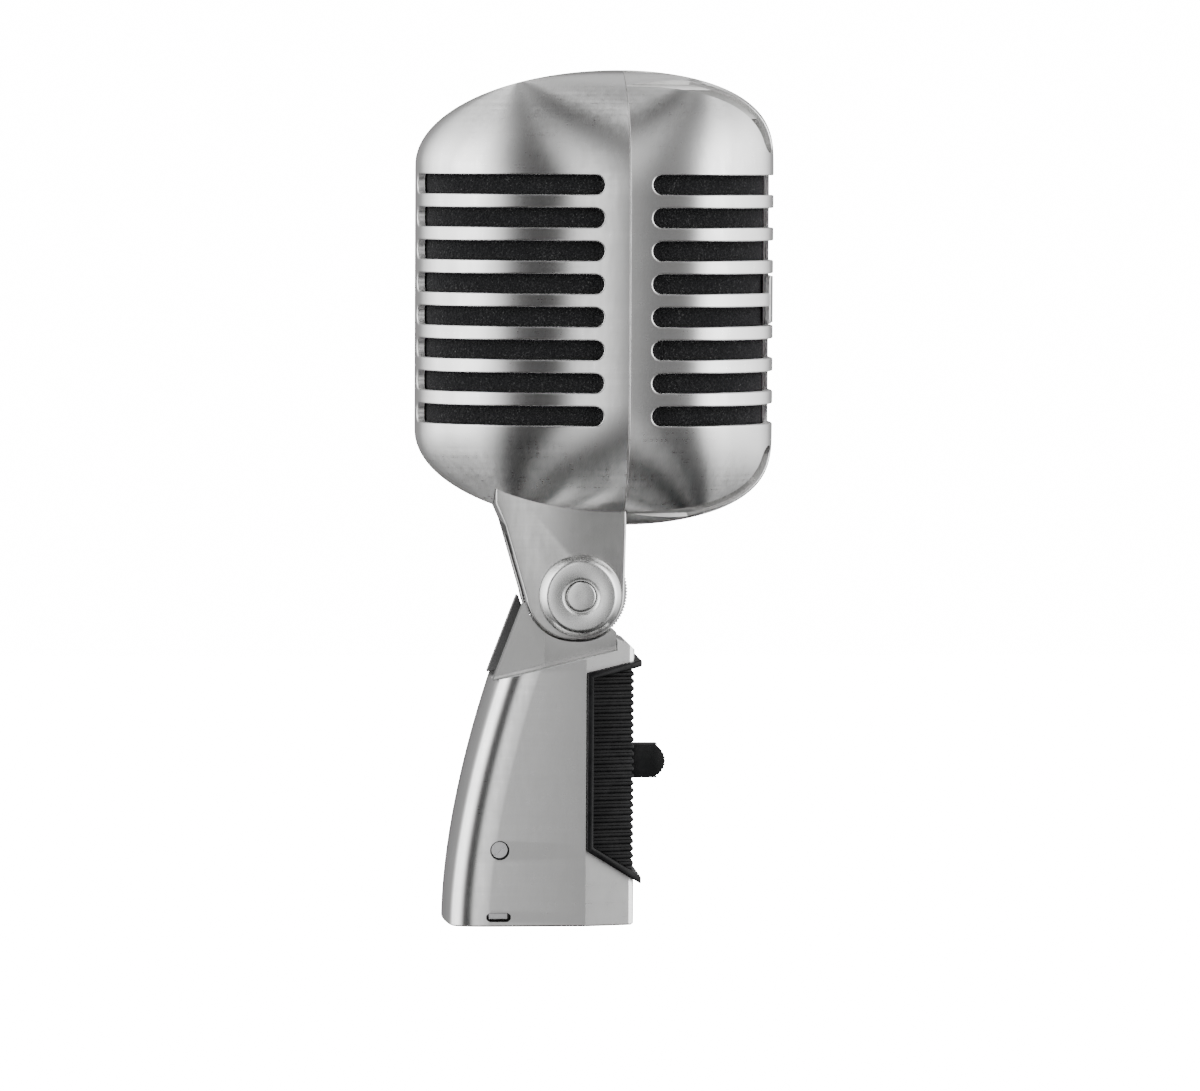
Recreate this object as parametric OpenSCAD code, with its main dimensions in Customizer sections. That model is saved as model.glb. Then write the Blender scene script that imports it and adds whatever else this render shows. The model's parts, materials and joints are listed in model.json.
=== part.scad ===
// Classic side-address dynamic microphone: a slotted cast head on a swivel neck,
// over a cast base with a stand thread, a slide switch and a three-pin connector.
//
// Frame: +Z up, the front faces -Y, the hinge runs along X.
// Origin: the centre of the stand thread's mouth, in the base's bottom face.

/* [Head] */
// Height of the head over both domes
head_h = 99.4; // [96:0.1:103]
// Width of the head at the parting line
head_w = 56; // [54:0.5:60]
// Depth of the rear half, parting line to rear face
rear_depth = 44.85; // [42:0.05:47]
// Depth of the front half, parting line to front face
front_depth = 33.3; // [32:0.1:36]
// Height of the head's centre over the base's bottom face
head_z = 136.3; // [135.5:0.1:138]
// Place of the parting plane between the two casings
parting_y = -9.4; // [-10:0.1:-9]
// Height of the domes in the side view
dome_h = 20.8; // [19:0.1:23]
// Height of the domes in the front view
arch_h = 28; // [25:0.5:32]
// Wall thickness of the casings
casing_t = 1.7; // [1.4:0.1:2]

/* [Slots] */
// Number of slot rows
slot_rows = 8; // [6:1:8]
// Distance from row to row
slot_pitch = 7.09; // [6.8:0.01:7.2]
// Height of each slot
slot_h = 4.25; // [3.6:0.05:4.6]
// Gap in y between the parting plane and the rear slots
rear_slot_gap = 5.6; // [5:0.1:7]
// Gap in y between the parting plane and the front slots
front_slot_gap = 4.9; // [4:0.1:6]
// Half-width of the spine between the rear slots
spine_half = 4.3; // [4:0.1:5]

/* [Front ribs] */
// Half-width of the middle rib
mid_rib_half = 2.6; // [2.2:0.1:2.8]
// Near edge of the outer ribs
outer_rib_in = 5; // [4.6:0.1:5.4]
// Far edge of the outer ribs
outer_rib_out = 8.6; // [8.2:0.1:9]
// Far edge of the outer grooves
groove_out = 13.8; // [12:0.1:14.5]

/* [Hinge] */
// Height of the hinge pin over the base's bottom face
pivot_z = 72; // [71.5:0.1:72.5]
// Radius of the neck's rounded cheeks
cheek_r = 9.7; // [9.6:0.02:10]
// Half-width of the neck and the bracket
neck_half = 13.5; // [13:0.1:14]
// Half-width of the gap between the cheeks
lug_half = 7.3; // [7:0.1:7.6]
// Radius of the hinge pin
pin_r = 3.3; // [3:0.1:3.4]
// Radial running clearance of the pin in the cheeks
pin_play = 0.05; // [0.02:0.01:0.08]
// Number of teeth on the friction wheel
wheel_teeth = 100; // [80:2:110]

/* [Base] */
// Half-width of the base
base_half = 16.4; // [16:0.1:17.5]
// Front face of the base
base_front_y = -12; // [-12.8:0.1:-11.8]
// Rear face of the base at the bottom
base_rear_y = 29.15; // [28.4:0.05:29.4]
// Slope of the joint between base and bracket, in degrees
joint_slope = 14; // [13:0.5:15]
// Height of that joint above the origin
joint_z = 58.1; // [57.8:0.1:58.4]

/* [Stand thread] */
// Radius of the thread's inner wall
thread_r = 7.45; // [7.3:0.05:7.6]
// Length of the thread
thread_len = 13; // [11:0.5:14]

/* [Connector] */
// Place of the connector's axis behind the thread
plug_y = 18.3; // [18:0.1:18.5]
// Radius of the socket around the pins
socket_r = 8.1; // [8:0.05:8.2]
// Depth of the socket
socket_depth = 15; // [14:0.5:15.5]

/* [Front panel] */
// Distance from rib to rib of the grip panel
rib_pitch = 1.59; // [1.5:0.01:1.7]
// Depth of the valleys between the ribs
rib_depth = 0.55; // [0.4:0.05:0.7]
// Width of the frame round the panel
frame_w = 1.5; // [1.3:0.1:1.7]

/* [Switch] */
// Height of the middle of the switch knob, slid up
knob_z = 34.8; // [34.5:0.1:35]
// Height of the knob
knob_h = 7.3; // [7:0.1:8]
// Reach of the knob in front of the panel
knob_reach = 7.4; // [6:0.1:8]
// Travel of the switch
knob_travel = 4; // [3:0.5:4]

/* [Hidden] */
$fn = 48;

// Small overlap of cutters past the faces that they open
eps = 0.05;
// Reach of cutters that go right through the head
far = 60;
half_h = head_h / 2;
half_w = head_w / 2;

// Roundness of the plan outline: sides, rear crown and front
side_reach = 50;
crown_reach = 60;
crease_power = 14;
front_power = 2.6;
front_dome_power = 3;

// Neck: front and rear edges in the side view, at the foot of the head
neck_top_z = 99;
neck_front_y = -10.05;
neck_rear_y = 18.4;
neck_rear_low = [11.7, 71.4];
gap_top_z = 84.5;
flange_z = 95;
cap_h = 4;

// Rear profile of the base: how far it leans in, at what height
lean = 2.85;
lean_z = 25.2;
lean_power = 1.7;
// Rear corners of the base: a shallow crown, then a turn that runs out into the flat side
crown_half = 12.4;
crown_len = 1.7;
turn_len = 9.6;
turn_rate = 2.25;

// Front corner of the base in plan
front_edge_y = -1.3;
corner_half = 14.2;
corner_y = -10.9;
nose_half = 12.9;
panel_t = 1.6;

silver = [0.78, 0.78, 0.77];
steel = [0.62, 0.63, 0.65];
black = [0.06, 0.06, 0.065];

// ---------------------------------------------------------------- helpers

// Turns a side-view outline (y, z) into a solid that is w wide along X
module side_solid(w) {
    rotate([90, 0, 90]) linear_extrude(w, center = true) children();
}

// A rod along X
module rod_x(r, w) {
    rotate([0, 90, 0]) cylinder(r = r, h = w, center = true);
}

// A rod along Y, from y0 to y1
module rod_y(r, y0, y1) {
    translate([0, y1, 0]) rotate([90, 0, 0]) cylinder(r = r, h = y1 - y0);
}

// A box given by its two corners
module box(low, high) {
    translate(low) cube(high - low);
}

// Both sides: the children and their mirror image across x = 0
module both_sides() {
    children();
    mirror([1, 0, 0]) children();
}

// A slotted machine screw, head at the origin, shank towards -Z
module screw(head_r, head_t, shank_r, shank_l) {
    slot_w = head_r * 0.3;
    difference() {
        union() {
            cylinder(r = head_r, h = head_t);
            translate([0, 0, -shank_l]) cylinder(r = shank_r, h = shank_l + eps);
        }
        translate([-head_r, -slot_w / 2, head_t * 0.5]) cube([2 * head_r, slot_w, head_t]);
    }
}

// ------------------------------------------------------------ head surface

function clamp01(v) = min(1, max(0, v));

// How far up a dome of height h the level z lies, from 0 to 1
function rise(z, h, inset) = clamp01((abs(z) - (half_h - h)) / (h - inset));

// Distance from the head's axis to its outline, at angle a from the rear, level z
function outline_r(a, z, inset) =
    let (s = abs(sin(a)), c = abs(cos(a)), t = rise(z, dome_h, inset))
    let (w = half_w - inset, d = rear_depth - inset, f = front_depth - inset)
    let (k = 2 + (crease_power - 2) * pow(1 - t, 2))
    let (b = pow(pow(1 / d, k) - pow(1 / side_reach, k), 1 / k))
    let (side = norm([s / w, c / side_reach]))
    let (crown = norm([s * (1 - t) / crown_reach, c * b]))
    cos(a) > 0
        ? 1 / pow(pow(side, k) + pow(crown, k), 1 / k)
        : 1 / pow(pow(s / w, front_power) + pow(c / f, front_power), 1 / front_power);

// A point of the head's surface, moved inwards by inset
function head_point(a, z, inset) =
    let (r = outline_r(a, z, inset))
    let (tx = rise(z, arch_h, inset), ty = rise(z, dome_h, inset))
    let (sx = sqrt(1 - tx * tx))
    let (sy = sqrt(1 - pow(ty, cos(a) > 0 ? 2 : front_dome_power)))
    [r * sin(a) * sx, parting_y + r * cos(a) * sy, head_z + z];

// Height above the head's centre at which the outer slots end
slots_end = (slot_rows - 1) / 2 * slot_pitch + slot_h / 2;

// A level past the slots, drawn in so that it stays on a surface moved inwards by inset
function drawn_in(z, inset) =
    let (over = max(0, abs(z) - slots_end))
    z - sign(z) * over * inset / (half_h - slots_end);

// Levels of the rings: one at each slot edge, then closer together up the domes
function levels() =
    let (s = slots_end, n = 7)
    let (dome = [for (i = [1:n - 1]) s + (half_h - s) * sin(90 * i / n)])
    concat([for (i = [n - 2:-1:0]) -dome[i]],
        [for (i = [0:slot_rows - 1]) for (e = [-1, 1]) row_z(i) - head_z + e * slot_h / 2], dome);

// Angles of the columns of one half, the same on both sides; c is the half's middle
function columns(c, list) = concat([for (a = list) c - a], [for (i = [len(list) - 1:-1:0]) c + list[i]]);

// A wall over one half of the head, from inset to inset + t. open lists [first column,
// last column, first level, last level] of each opening; tips closes both domes.
module head_wall(angles, inset, t, open, tips, skip = 0) {
    z = levels();
    n = len(angles);
    m = len(z) - 2 * skip;
    skin = [for (d = [0, t]) for (k = [0:m - 1]) for (a = angles)
        head_point(a, drawn_in(z[k + skip], inset + d), inset + d)];
    poles = [for (d = [0, t]) for (s = [-1, 1]) [0, parting_y, head_z + s * (half_h - inset - d)]];
    o = n * m;
    function shut(i, k) = i >= 0 && i < n - 1 && k >= 0 && k < m - 1
        && len([for (w = open) if (i >= w[0] && i < w[1] && k >= w[2] && k < w[3]) 1]) == 0;
    function at(i, k) = k * n + i;
    cells = [for (k = [0:m - 2]) for (i = [0:n - 2]) if (shut(i, k)) [i, k]];
    faces_out = [for (c = cells)
        [at(c[0], c[1]), at(c[0], c[1] + 1), at(c[0] + 1, c[1] + 1), at(c[0] + 1, c[1])]];
    faces_in = [for (f = faces_out) [f[3] + o, f[2] + o, f[1] + o, f[0] + o]];
    edges = [[-1, 0, 0, 0, 0, 1], [1, 0, 1, 1, 1, 0], [0, 1, 0, 1, 1, 1], [0, -1, 1, 0, 0, 0]];
    rims = [for (c = cells) for (e = edges)
        let (last = e[1] != 0 && tips && (c[1] + e[1] < 0 || c[1] + e[1] > m - 2))
        if (!last && !shut(c[0] + e[0], c[1] + e[1]))
        let (p = at(c[0] + e[2], c[1] + e[3]), q = at(c[0] + e[4], c[1] + e[5]))
        [q, p, p + o, q + o]];
    caps = [for (s = [0, 1]) for (d = [0, 1]) for (i = [0:n - 2])
        let (k = s * (m - 1), p = at(i, k) + d * o, q = at(i + 1, k) + d * o, pole = 2 * o + 2 * d + s)
        s == d ? [pole, p, q] : [pole, q, p]];
    cap_rims = [for (s = [0, 1]) for (i = [0, n - 1])
        let (p = at(i, s * (m - 1)), out = 2 * o + s, in = 2 * o + 2 + s)
        (s == 0) == (i == 0) ? [p, out, in, p + o] : [p + o, in, out, p]];
    polyhedron(concat(skin, tips ? poles : []),
        concat(faces_out, faces_in, rims, tips ? concat(caps, cap_rims) : []), convexity = 8);
}

// Height of a slot row
function row_z(i) = head_z + (i - (slot_rows - 1) / 2) * slot_pitch;

// The hole in the head's foot that the neck passes through
module neck_hole() {
    box([-neck_half - 0.1, neck_front_y - 0.15, 0],
        [neck_half + 0.1, neck_rear_y + 0.15, neck_top_z + 2]);
}

// ------------------------------------------------------------- head pieces

// The slot rows as openings between two columns
function slot_openings(first, last) =
    let (k = 6)
    [for (i = [0:slot_rows - 1]) [first, last, k + 2 * i, k + 2 * i + 1]];

module rear_casing() {
    side = atan2(half_w - 0.4, rear_slot_gap);
    spine = atan2(spine_half, rear_depth);
    steps = 11;
    list = concat([90], [for (i = [0:steps]) side + (spine - side) * i / steps]);
    color(silver) difference() {
        head_wall(columns(0, list), 0, casing_t,
            concat(slot_openings(1, steps + 1), slot_openings(steps + 2, 2 * steps + 2)), true);
        neck_hole();
    }
}

// Angle from the front's middle to the place x on the front face
function front_angle(x) =
    let (share = 1 - pow(x / half_w, front_power))
    atan2(x, (front_depth - 0.6) * pow(share, 1 / front_power));

module front_casing() {
    side = atan2(half_w - 0.4, front_slot_gap);
    steps = 6;
    groove = front_angle(groove_out);
    list = concat([90], [for (i = [0:steps]) side + (groove - side) * i / steps],
        [for (x = [outer_rib_out, outer_rib_in, mid_rib_half]) front_angle(x)]);
    n = len(list);
    windows = [for (i = [steps + 1, n - 2, n, 2 * n - steps - 3]) for (k = [3, 22]) [i, i + 1, k, k + 2]];
    bars = concat(slot_openings(1, steps + 2), slot_openings(n - 2, n - 1),
        slot_openings(n, n + 1), slot_openings(2 * n - steps - 3, 2 * n - 2));
    plate_bed = [[steps + 1, 2 * n - steps - 2, 12, 15]];
    color(silver) difference() {
        head_wall(columns(180, list), 0, casing_t, concat(bars, windows, plate_bed), true);
        neck_hole();
    }
}

foam_t = 3;
foam_gap = 0.35;

module rear_foam() {
    color(black) head_wall([for (a = [-84:12:84]) a], casing_t + foam_gap, foam_t, [], false, 4);
}

module front_foam() {
    color(black) head_wall([for (a = [98:164 / 14:262.1]) a], casing_t + foam_gap, foam_t, [], false, 3);
}

// Blank badge in its opening on the front, across the two middle slots
module nameplate() {
    plate_half = 12.8;
    plate_h = 11.2;
    plate_t = 1.4;
    corner_r = 1.2;
    bend_r = 48.8;
    front = parting_y - front_depth + 0.05;
    color(silver) translate([0, front, head_z]) intersection() {
        rotate([90, 0, 0]) linear_extrude(far, center = true)
            offset(corner_r) square([2 * (plate_half - corner_r), plate_h - 2 * corner_r], center = true);
        translate([0, bend_r, 0]) difference() {
            cylinder(r = bend_r, h = far, center = true, $fn = 180);
            cylinder(r = bend_r - plate_t, h = 2 * far, center = true, $fn = 180);
            translate([-far, 0, -far]) cube(2 * far);
        }
    }
}

// -------------------------------------------------------------- neck pieces

// Side outline of the neck: rounded below, widening to the head
module neck_outline() {
    translate([0, pivot_z]) circle(r = cheek_r, $fn = 96);
    polygon([
        [neck_front_y, neck_top_z], [neck_front_y, 86], [-cheek_r, pivot_z],
        [0, pivot_z - 4], neck_rear_low, [14.4, 80.7], [16.3, 87.3],
        [neck_rear_y, 92], [neck_rear_y, neck_top_z]
    ]);
    intersection() {
        translate([1.2, pivot_z + 0.9]) circle(r = 10.6, $fn = 96);
        polygon([[0, 0], [0, pivot_z], neck_rear_low, [neck_rear_low[0], 0]]);
    }
}

module neck() {
    hollow_half = 9;
    color(silver) difference() {
        side_solid(2 * neck_half) neck_outline();
        box([-lug_half, -far, 0], [lug_half, far, gap_top_z]);
        box([-hollow_half, -6.5, gap_top_z - 1], [hollow_half, 12, flange_z]);
        translate([0, 3, 0]) cylinder(r = 5, h = 2 * head_z);
        translate([0, 0, pivot_z]) rod_x(pin_r + pin_play, far);
        for (x = [-1, 1]) {
            translate([x * 11, 3, flange_z - 6]) cylinder(r = 1.2, h = 20);
        }
    }
}

// Raised caps over the cheeks, chamfered round the pin's end
module pivot_caps() {
    base_r = 9;
    face_r = 7.5;
    mouth_r = 4.2;
    color(silver) both_sides() translate([neck_half, 0, pivot_z]) rotate([0, 90, 0]) rotate_extrude($fn = 96)
        polygon([
            [pin_r + pin_play, 0], [base_r, 0], [base_r, 1.6], [face_r + 0.4, cap_h - 0.2],
            [face_r - 0.2, cap_h], [mouth_r, cap_h], [pin_r + pin_play, cap_h - 0.8]
        ]);
}

// Fine-toothed wheel that turns with the neck between the bracket's lugs
module friction_wheel() {
    tip_r = 11.4;
    root_r = 11.05;
    step = 360 / wheel_teeth;
    color(steel) translate([0, 0, pivot_z]) difference() {
        side_solid(3) polygon([for (i = [0:2 * wheel_teeth - 1])
            let (r = i % 2 == 0 ? tip_r : root_r) [r * cos(i * step / 2), r * sin(i * step / 2)]]);
        rod_x(pin_r + pin_play, 10);
    }
}

// Two screws that hold the capsule bracket to the neck's top
module neck_screws() {
    color(steel) for (x = [-1, 1]) {
        translate([x * 11, 3, neck_top_z + 1.2]) screw(1.9, 1.2, 1.15, 6);
    }
}

// ----------------------------------------------------------- capsule pieces

capsule_r = 16;
// Height at which the leads pass through the capsule's bracket
lead_hole_z = 105;

// Upright plate from the neck's top to the capsule's rubber ring
module capsule_bracket() {
    color(steel) difference() {
        union() {
            box([-13, -4, neck_top_z], [13, 8, neck_top_z + 1.2]);
            box([-9, 6.8, neck_top_z], [9, 8, head_z + 6]);
        }
        for (x = [-1, 1]) {
            translate([x * 11, 3, neck_top_z - 1]) cylinder(r = 1.2, h = 4);
        }
        translate([0, 3, neck_top_z - 1]) cylinder(r = 4, h = 4);
        for (x = [-1, 1]) {
            translate([x * 6, 0, head_z + 3]) rod_y(1.1, 5, 10);
        }
        for (z = [head_z, lead_hole_z]) {
            translate([0, 0, z]) rod_y(2.4, 5, 10, $fn = 32);
        }
    }
}

// Nuts behind the bracket, on studs of the rubber-mounted ring
module bracket_nuts() {
    color(steel) for (x = [-1, 1]) {
        translate([x * 6, 0, head_z + 3]) {
            rod_y(1, 3, 11);
            rod_y(2.2, 8, 9.8, $fn = 6);
        }
    }
}

// Rubber disc between the capsule and its bracket
module shock_mount() {
    color(black) difference() {
        translate([0, 0, head_z]) rod_y(12, 2, 6.8);
        for (x = [-1, 1]) {
            translate([x * 6, 0, head_z + 3]) rod_y(1, 0, 10);
        }
        translate([0, 0, head_z]) rod_y(4, 0, 10);
    }
}

// Open can that holds the motor
module capsule_housing() {
    color(steel) translate([0, 0, head_z]) difference() {
        rod_y(capsule_r, -20, 2);
        rod_y(capsule_r - 1.5, -21, -3);
        rod_y(9, -4, 3);
    }
}

// Perforated cover over the diaphragm
module capsule_grille() {
    color(steel) translate([0, 0, head_z]) difference() {
        rod_y(capsule_r - 1.5, -20, -19);
        rod_y(1.1, -21, -18);
        for (ring = [1:3]) {
            for (i = [0:6 * ring - 1]) {
                rotate([0, i * 60 / ring, 0]) translate([ring * 3.8, 0, 0]) rod_y(1.1, -21, -18, $fn = 16);
            }
        }
    }
}

// Thin domed diaphragm with its flat rim
module diaphragm() {
    t = 0.3;
    color([0.85, 0.8, 0.65]) translate([0, -16.5, head_z]) rotate([90, 0, 0]) rotate_extrude($fn = 72)
        polygon([
            [0, 1.6], [3, 1.3], [6, 0.5], [7.4, 0], [9.5, 0.9], [12, 0], [14.2, 0],
            [14.2, t], [12, t], [9.5, 0.9 + t], [7.4, t], [6, 0.5 + t], [3, 1.3 + t], [0, 1.6 + t]
        ]);
}

// Coil on the diaphragm's back, in the motor's gap
module voice_coil() {
    color([0.75, 0.4, 0.2]) translate([0, 0, head_z]) difference() {
        rod_y(7.7, -16.4, -12.6);
        rod_y(7.1, -17, -12);
    }
}

// Plate round the gap, in front of the magnet
module top_plate() {
    color(steel) translate([0, 0, head_z]) difference() {
        rod_y(14, -14.6, -12.4);
        rod_y(8.2, -15, -12);
    }
}

// Ring magnet behind the plate
module magnet() {
    color([0.25, 0.25, 0.27]) translate([0, 0, head_z]) difference() {
        rod_y(13.5, -12.4, -5);
        rod_y(8.8, -13, -4);
    }
}

// Centre pole and back plate of the motor
module pole_piece() {
    color(steel) translate([0, 0, head_z]) difference() {
        union() {
            rod_y(6.6, -14.6, -4.5);
            rod_y(14, -5, -3);
        }
        rod_y(1.5, -16, 0);
    }
}

// Pair of leads from the capsule, over its bracket and down to the neck's hollow
module head_leads() {
    route = [[-1, head_z], [9.8, head_z], [9.8, lead_hole_z], [3, lead_hole_z], [3, 90]];
    color([0.7, 0.1, 0.1]) for (x = [-1, 1]) {
        for (i = [0:len(route) - 2]) {
            hull() {
                for (p = [route[i], route[i + 1]]) {
                    translate([1.2 * x, p[0], p[1]]) sphere(r = 0.6, $fn = 10);
                }
            }
        }
    }
}

// ------------------------------------------------------------- base outline

// Rear face of the base at height z
function rear_y(z) = base_rear_y - lean * pow(max(0, z) / lean_z, lean_power);

// Half-width of the base at the distance d in front of its rear face
function half_at(d) =
    let (u = clamp01(1 - d / crown_len), v = min(d, turn_len))
    crown_half * sqrt(1 - u * u)
        + (base_half - crown_half) * (1 - exp(-v / turn_rate)) / (1 - exp(-turn_len / turn_rate));

// One half of the base's plan outline, from the rear to the front
function half_outline(z) =
    let (y = rear_y(z))
    concat(
        [for (d = [0.02, 0.2, 0.6, 1.1, 1.7, 2.4, 3.2, 4.2, 5.5, 7.2, turn_len]) [half_at(d), y - d]],
        [[base_half, front_edge_y], [corner_half, corner_y], [corner_half - 0.4, corner_y - 0.8],
         [nose_half, base_front_y]]);

// The whole outline, right half then left half
function outline(z) =
    let (h = half_outline(z))
    concat(h, [for (i = [len(h) - 1:-1:0]) [-h[i][0], h[i][1]]]);

// The base as a loft through its outlines
module base_body(z0, z1, steps) {
    z = [for (i = [0:steps]) z0 + (z1 - z0) * i / steps];
    n = len(outline(0));
    points = [for (k = z) for (p = outline(k)) [p[0], p[1], k]];
    side = [for (k = [0:steps - 1]) for (i = [0:n - 1])
        let (j = (i + 1) % n)
        [k * n + i, k * n + j, (k + 1) * n + j, (k + 1) * n + i]];
    floor_face = [[for (i = [n - 1:-1:0]) i]];
    top_face = [[for (i = [0:n - 1]) steps * n + i]];
    polyhedron(points, concat(side, floor_face, top_face), convexity = 6);
}

// Front part of the plan outline, moved outwards by grow, as far back as y = back
module front_plan(grow, back) {
    polygon([
        [base_half + grow, back], [base_half + grow, front_edge_y],
        [corner_half + grow, corner_y], [nose_half + grow, base_front_y - grow],
        [-nose_half - grow, base_front_y - grow], [-corner_half - grow, corner_y],
        [-base_half - grow, front_edge_y], [-base_half - grow, back]
    ]);
}

// Side outline of the panel, moved inwards by inset
module panel_side(inset) {
    offset(delta = -inset) polygon([
        [front_edge_y - 0.1, 55.4], [-22, 60], [-22, 3.6], [front_edge_y - 0.1, 16.6]
    ]);
}

// --------------------------------------------------------------- base pieces

// The space above the slanted joint, leaving the front block standing
module above_joint(gap) {
    difference() {
        translate([-far, 0, joint_z + gap]) rotate([-joint_slope, 0, 0])
            translate([0, -far, 0]) cube([2 * far, 2 * far, far]);
        translate([0, 0, 0.8]) side_solid(4 * far)
            polygon([[-8.1, 0], [-8.1, 61.6], [-11.2, 60.2], [-12.2, 59.2], [-20, 57], [-20, 0]]);
    }
}

// A pill-shaped cutter along X at the side of the base
module side_pill(y0, y1, z, h) {
    hull() {
        for (y = [y0, y1]) {
            translate([base_half - 3.4, y, z]) rotate([0, 90, 0]) cylinder(d = h, h = 8, $fn = 20);
        }
    }
}

// A rounded hollow inside the base
module hollow(low, high, r) {
    hull() {
        for (x = [low[0] + r, high[0] - r]) {
            for (y = [low[1] + r, high[1] - r]) {
                translate([x, y, low[2]]) cylinder(r = r, h = high[2] - low[2], $fn = 16);
            }
        }
    }
}

module base_housing() {
    color(silver) difference() {
        base_body(0, 64, 16);
        above_joint(0);
        translate([0, 0, -1]) cylinder(r = thread_r + 1.7, h = 17, $fn = 64);
        translate([0, plug_y, -1]) cylinder(r = socket_r, h = socket_depth + 1, $fn = 64);
        translate([0, plug_y, 0]) cylinder(r = 7.4, h = socket_depth + 3.5, $fn = 48);
        hollow([-12.2, -9, 18.6], [12.2, 14, 44], 3);
        hollow([-10.4, -7, 43], [10.4, 10, 50], 2);
        hollow([-5, 10, 18.4], [5, 24.2, 22], 2);
        hollow([-5, 10, 21], [5, 20, 26], 2);
        translate([0, 0, 40]) cylinder(r = 3.5, h = 30, $fn = 32);
        for (x = [-8, 8]) {
            translate([x, 2, 40]) cylinder(r = 1.3, h = 30, $fn = 24);
        }
        intersection() {
            side_solid(4 * far) panel_side(0);
            translate([0, 0, -1]) linear_extrude(far + 10) difference() {
                front_plan(4, front_edge_y);
                offset(delta = -panel_t) front_plan(0, 10);
            }
        }
        hull() {
            for (z = [knob_z - knob_travel - 4, knob_z + 4]) {
                translate([0, 0, z]) rod_y(4.5, -20, -8, $fn = 20);
            }
        }
        for (z = [knob_z - 15.5, knob_z + 11.5]) {
            translate([0, 0, z]) rod_y(1.15, -20, -8, $fn = 20);
        }
        mirror([1, 0, 0]) side_pill(15.9, 19.3, 2.1, 2);
        translate([-base_half, 17.4, 16.7]) {
            hull() {
                for (x = [0.4, 3]) {
                    translate([x, 0, 0]) rod_x(2.1, 1, $fn = 32);
                }
            }
            hull() {
                for (x = [0, 8]) {
                    translate([x, 0, 0]) rod_x(1.1, 1, $fn = 24);
                }
            }
            translate([-3, 0, 0]) rod_x(2.1, 6, $fn = 32);
        }
        translate([0, 0, 8]) both_sides() hull() {
            for (x = [thread_r, thread_r + 4.5]) {
                translate([x, 0, 0]) rod_x(1.1, 1, $fn = 24);
            }
        }
    }
}

// Slanted foot of the swivel bracket, in the side view
module bracket_outline() {
    foot_y = [18.8, -8];
    rise_per_mm = tan(joint_slope);
    polygon([
        [foot_y[0], joint_z - foot_y[0] * rise_per_mm + 0.05],
        [foot_y[1], joint_z - foot_y[1] * rise_per_mm + 0.05],
        [foot_y[1], 64], [0, pivot_z - 5], [12.3, 70.4]
    ]);
}

// Lower half of the hinge: side plates with a round seat, two lugs, a rear channel
module swivel_bracket() {
    lug_r = 9.5;
    seat_r = 10.15;
    wheel_gap = 1.8;
    plate_in = 9.4;
    color(silver) difference() {
        union() {
            difference() {
                side_solid(2 * neck_half) bracket_outline();
                both_sides() translate([lug_half - 0.3 + far / 2, 0, pivot_z]) {
                    rod_x(seat_r, far, $fn = 96);
                    translate([0, 1.2, 0.9]) rod_x(11, far, $fn = 96);
                }
            }
            side_solid(2 * lug_half - 0.6) {
                translate([0, pivot_z]) circle(r = lug_r, $fn = 96);
                polygon([[-8, 64], [8, 66], [8, 58], [-8, 62]]);
            }
        }
        box([-plate_in, 9.5, 40], [plate_in, 30, 80]);
        translate([0, 0, pivot_z]) {
            rod_x(12, 2 * wheel_gap, $fn = 96);
            rod_x(pin_r, far);
        }
        translate([0, 0, 50]) cylinder(r = 3, h = 14);
        for (x = [-8, 8]) {
            translate([x, 2, 50]) cylinder(r = 1.15, h = 9.5);
        }
    }
}

// Screws from inside the base into the bracket's foot
module bracket_screws() {
    color(steel) for (x = [-8, 8]) {
        translate([x, 2, 49.8]) mirror([0, 0, 1]) screw(1.8, 1.2, 1.1, 8);
    }
}

// Hinge pin, fixed in the lugs; its ends show in the caps
module pivot_pin() {
    color(steel) translate([0, 0, pivot_z]) rod_x(pin_r, 2 * (neck_half + cap_h) - 0.8, $fn = 64);
}

// Thin washers between the lugs and the cheeks
module pivot_washers() {
    color(black) both_sides() translate([lug_half - 0.16, 0, pivot_z]) difference() {
        rod_x(8.8, 0.2, $fn = 64);
        rod_x(pin_r + pin_play, 1, $fn = 64);
    }
}

// Threaded sleeve for the microphone stand
module thread_insert() {
    color([0.7, 0.6, 0.35]) difference() {
        cylinder(r = thread_r + 1.65, h = thread_len, $fn = 96);
        translate([0, 0, -1]) cylinder(r = thread_r, h = thread_len + 2, $fn = 96);
        translate([0, 0, 8]) both_sides() translate([thread_r + 1, 0, 0]) rod_x(1, 3);
    }
}

// Cross pins that keep the sleeve from turning
module insert_pins() {
    color(steel) both_sides() translate([thread_r + 2.6, 0, 8]) rod_x(0.98, 4.4);
}

// Insulating disc that holds the connector's pins
module connector_insulator() {
    color(black) translate([0, plug_y, 0]) difference() {
        translate([0, 0, socket_depth]) cylinder(r = 7.35, h = 3.2);
        for (a = [90, 210, 330]) {
            rotate([0, 0, a]) translate([4.4, 0, 0]) cylinder(r = 1.2, h = 20);
        }
    }
}

// Three contact pins, round-nosed, with solder tails
module connector_pins() {
    pin = 1.2;
    color([0.85, 0.75, 0.45]) translate([0, plug_y, 0]) for (a = [90, 210, 330]) {
        rotate([0, 0, a]) translate([4.4, 0, 0]) {
            translate([0, 0, 2]) cylinder(r = pin, h = socket_depth + 1.2);
            translate([0, 0, 2]) intersection() {
                sphere(r = pin);
                translate([0, 0, -pin]) cylinder(r = pin, h = pin);
            }
            translate([0, 0, socket_depth + 3.2 - eps]) cylinder(r = 0.8, h = 2.5);
            translate([0, 0, socket_depth + 1]) cylinder(r = 1.1, h = 2.2);
        }
    }
}

// Screw in the base's side that clamps the connector
module connector_screw() {
    color(steel) translate([-base_half + 2.5, 17.4, 16.7]) rotate([50, 0, 0]) rotate([0, -90, 0])
        screw(1.76, 1.3, 1, 4.4);
}

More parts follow.
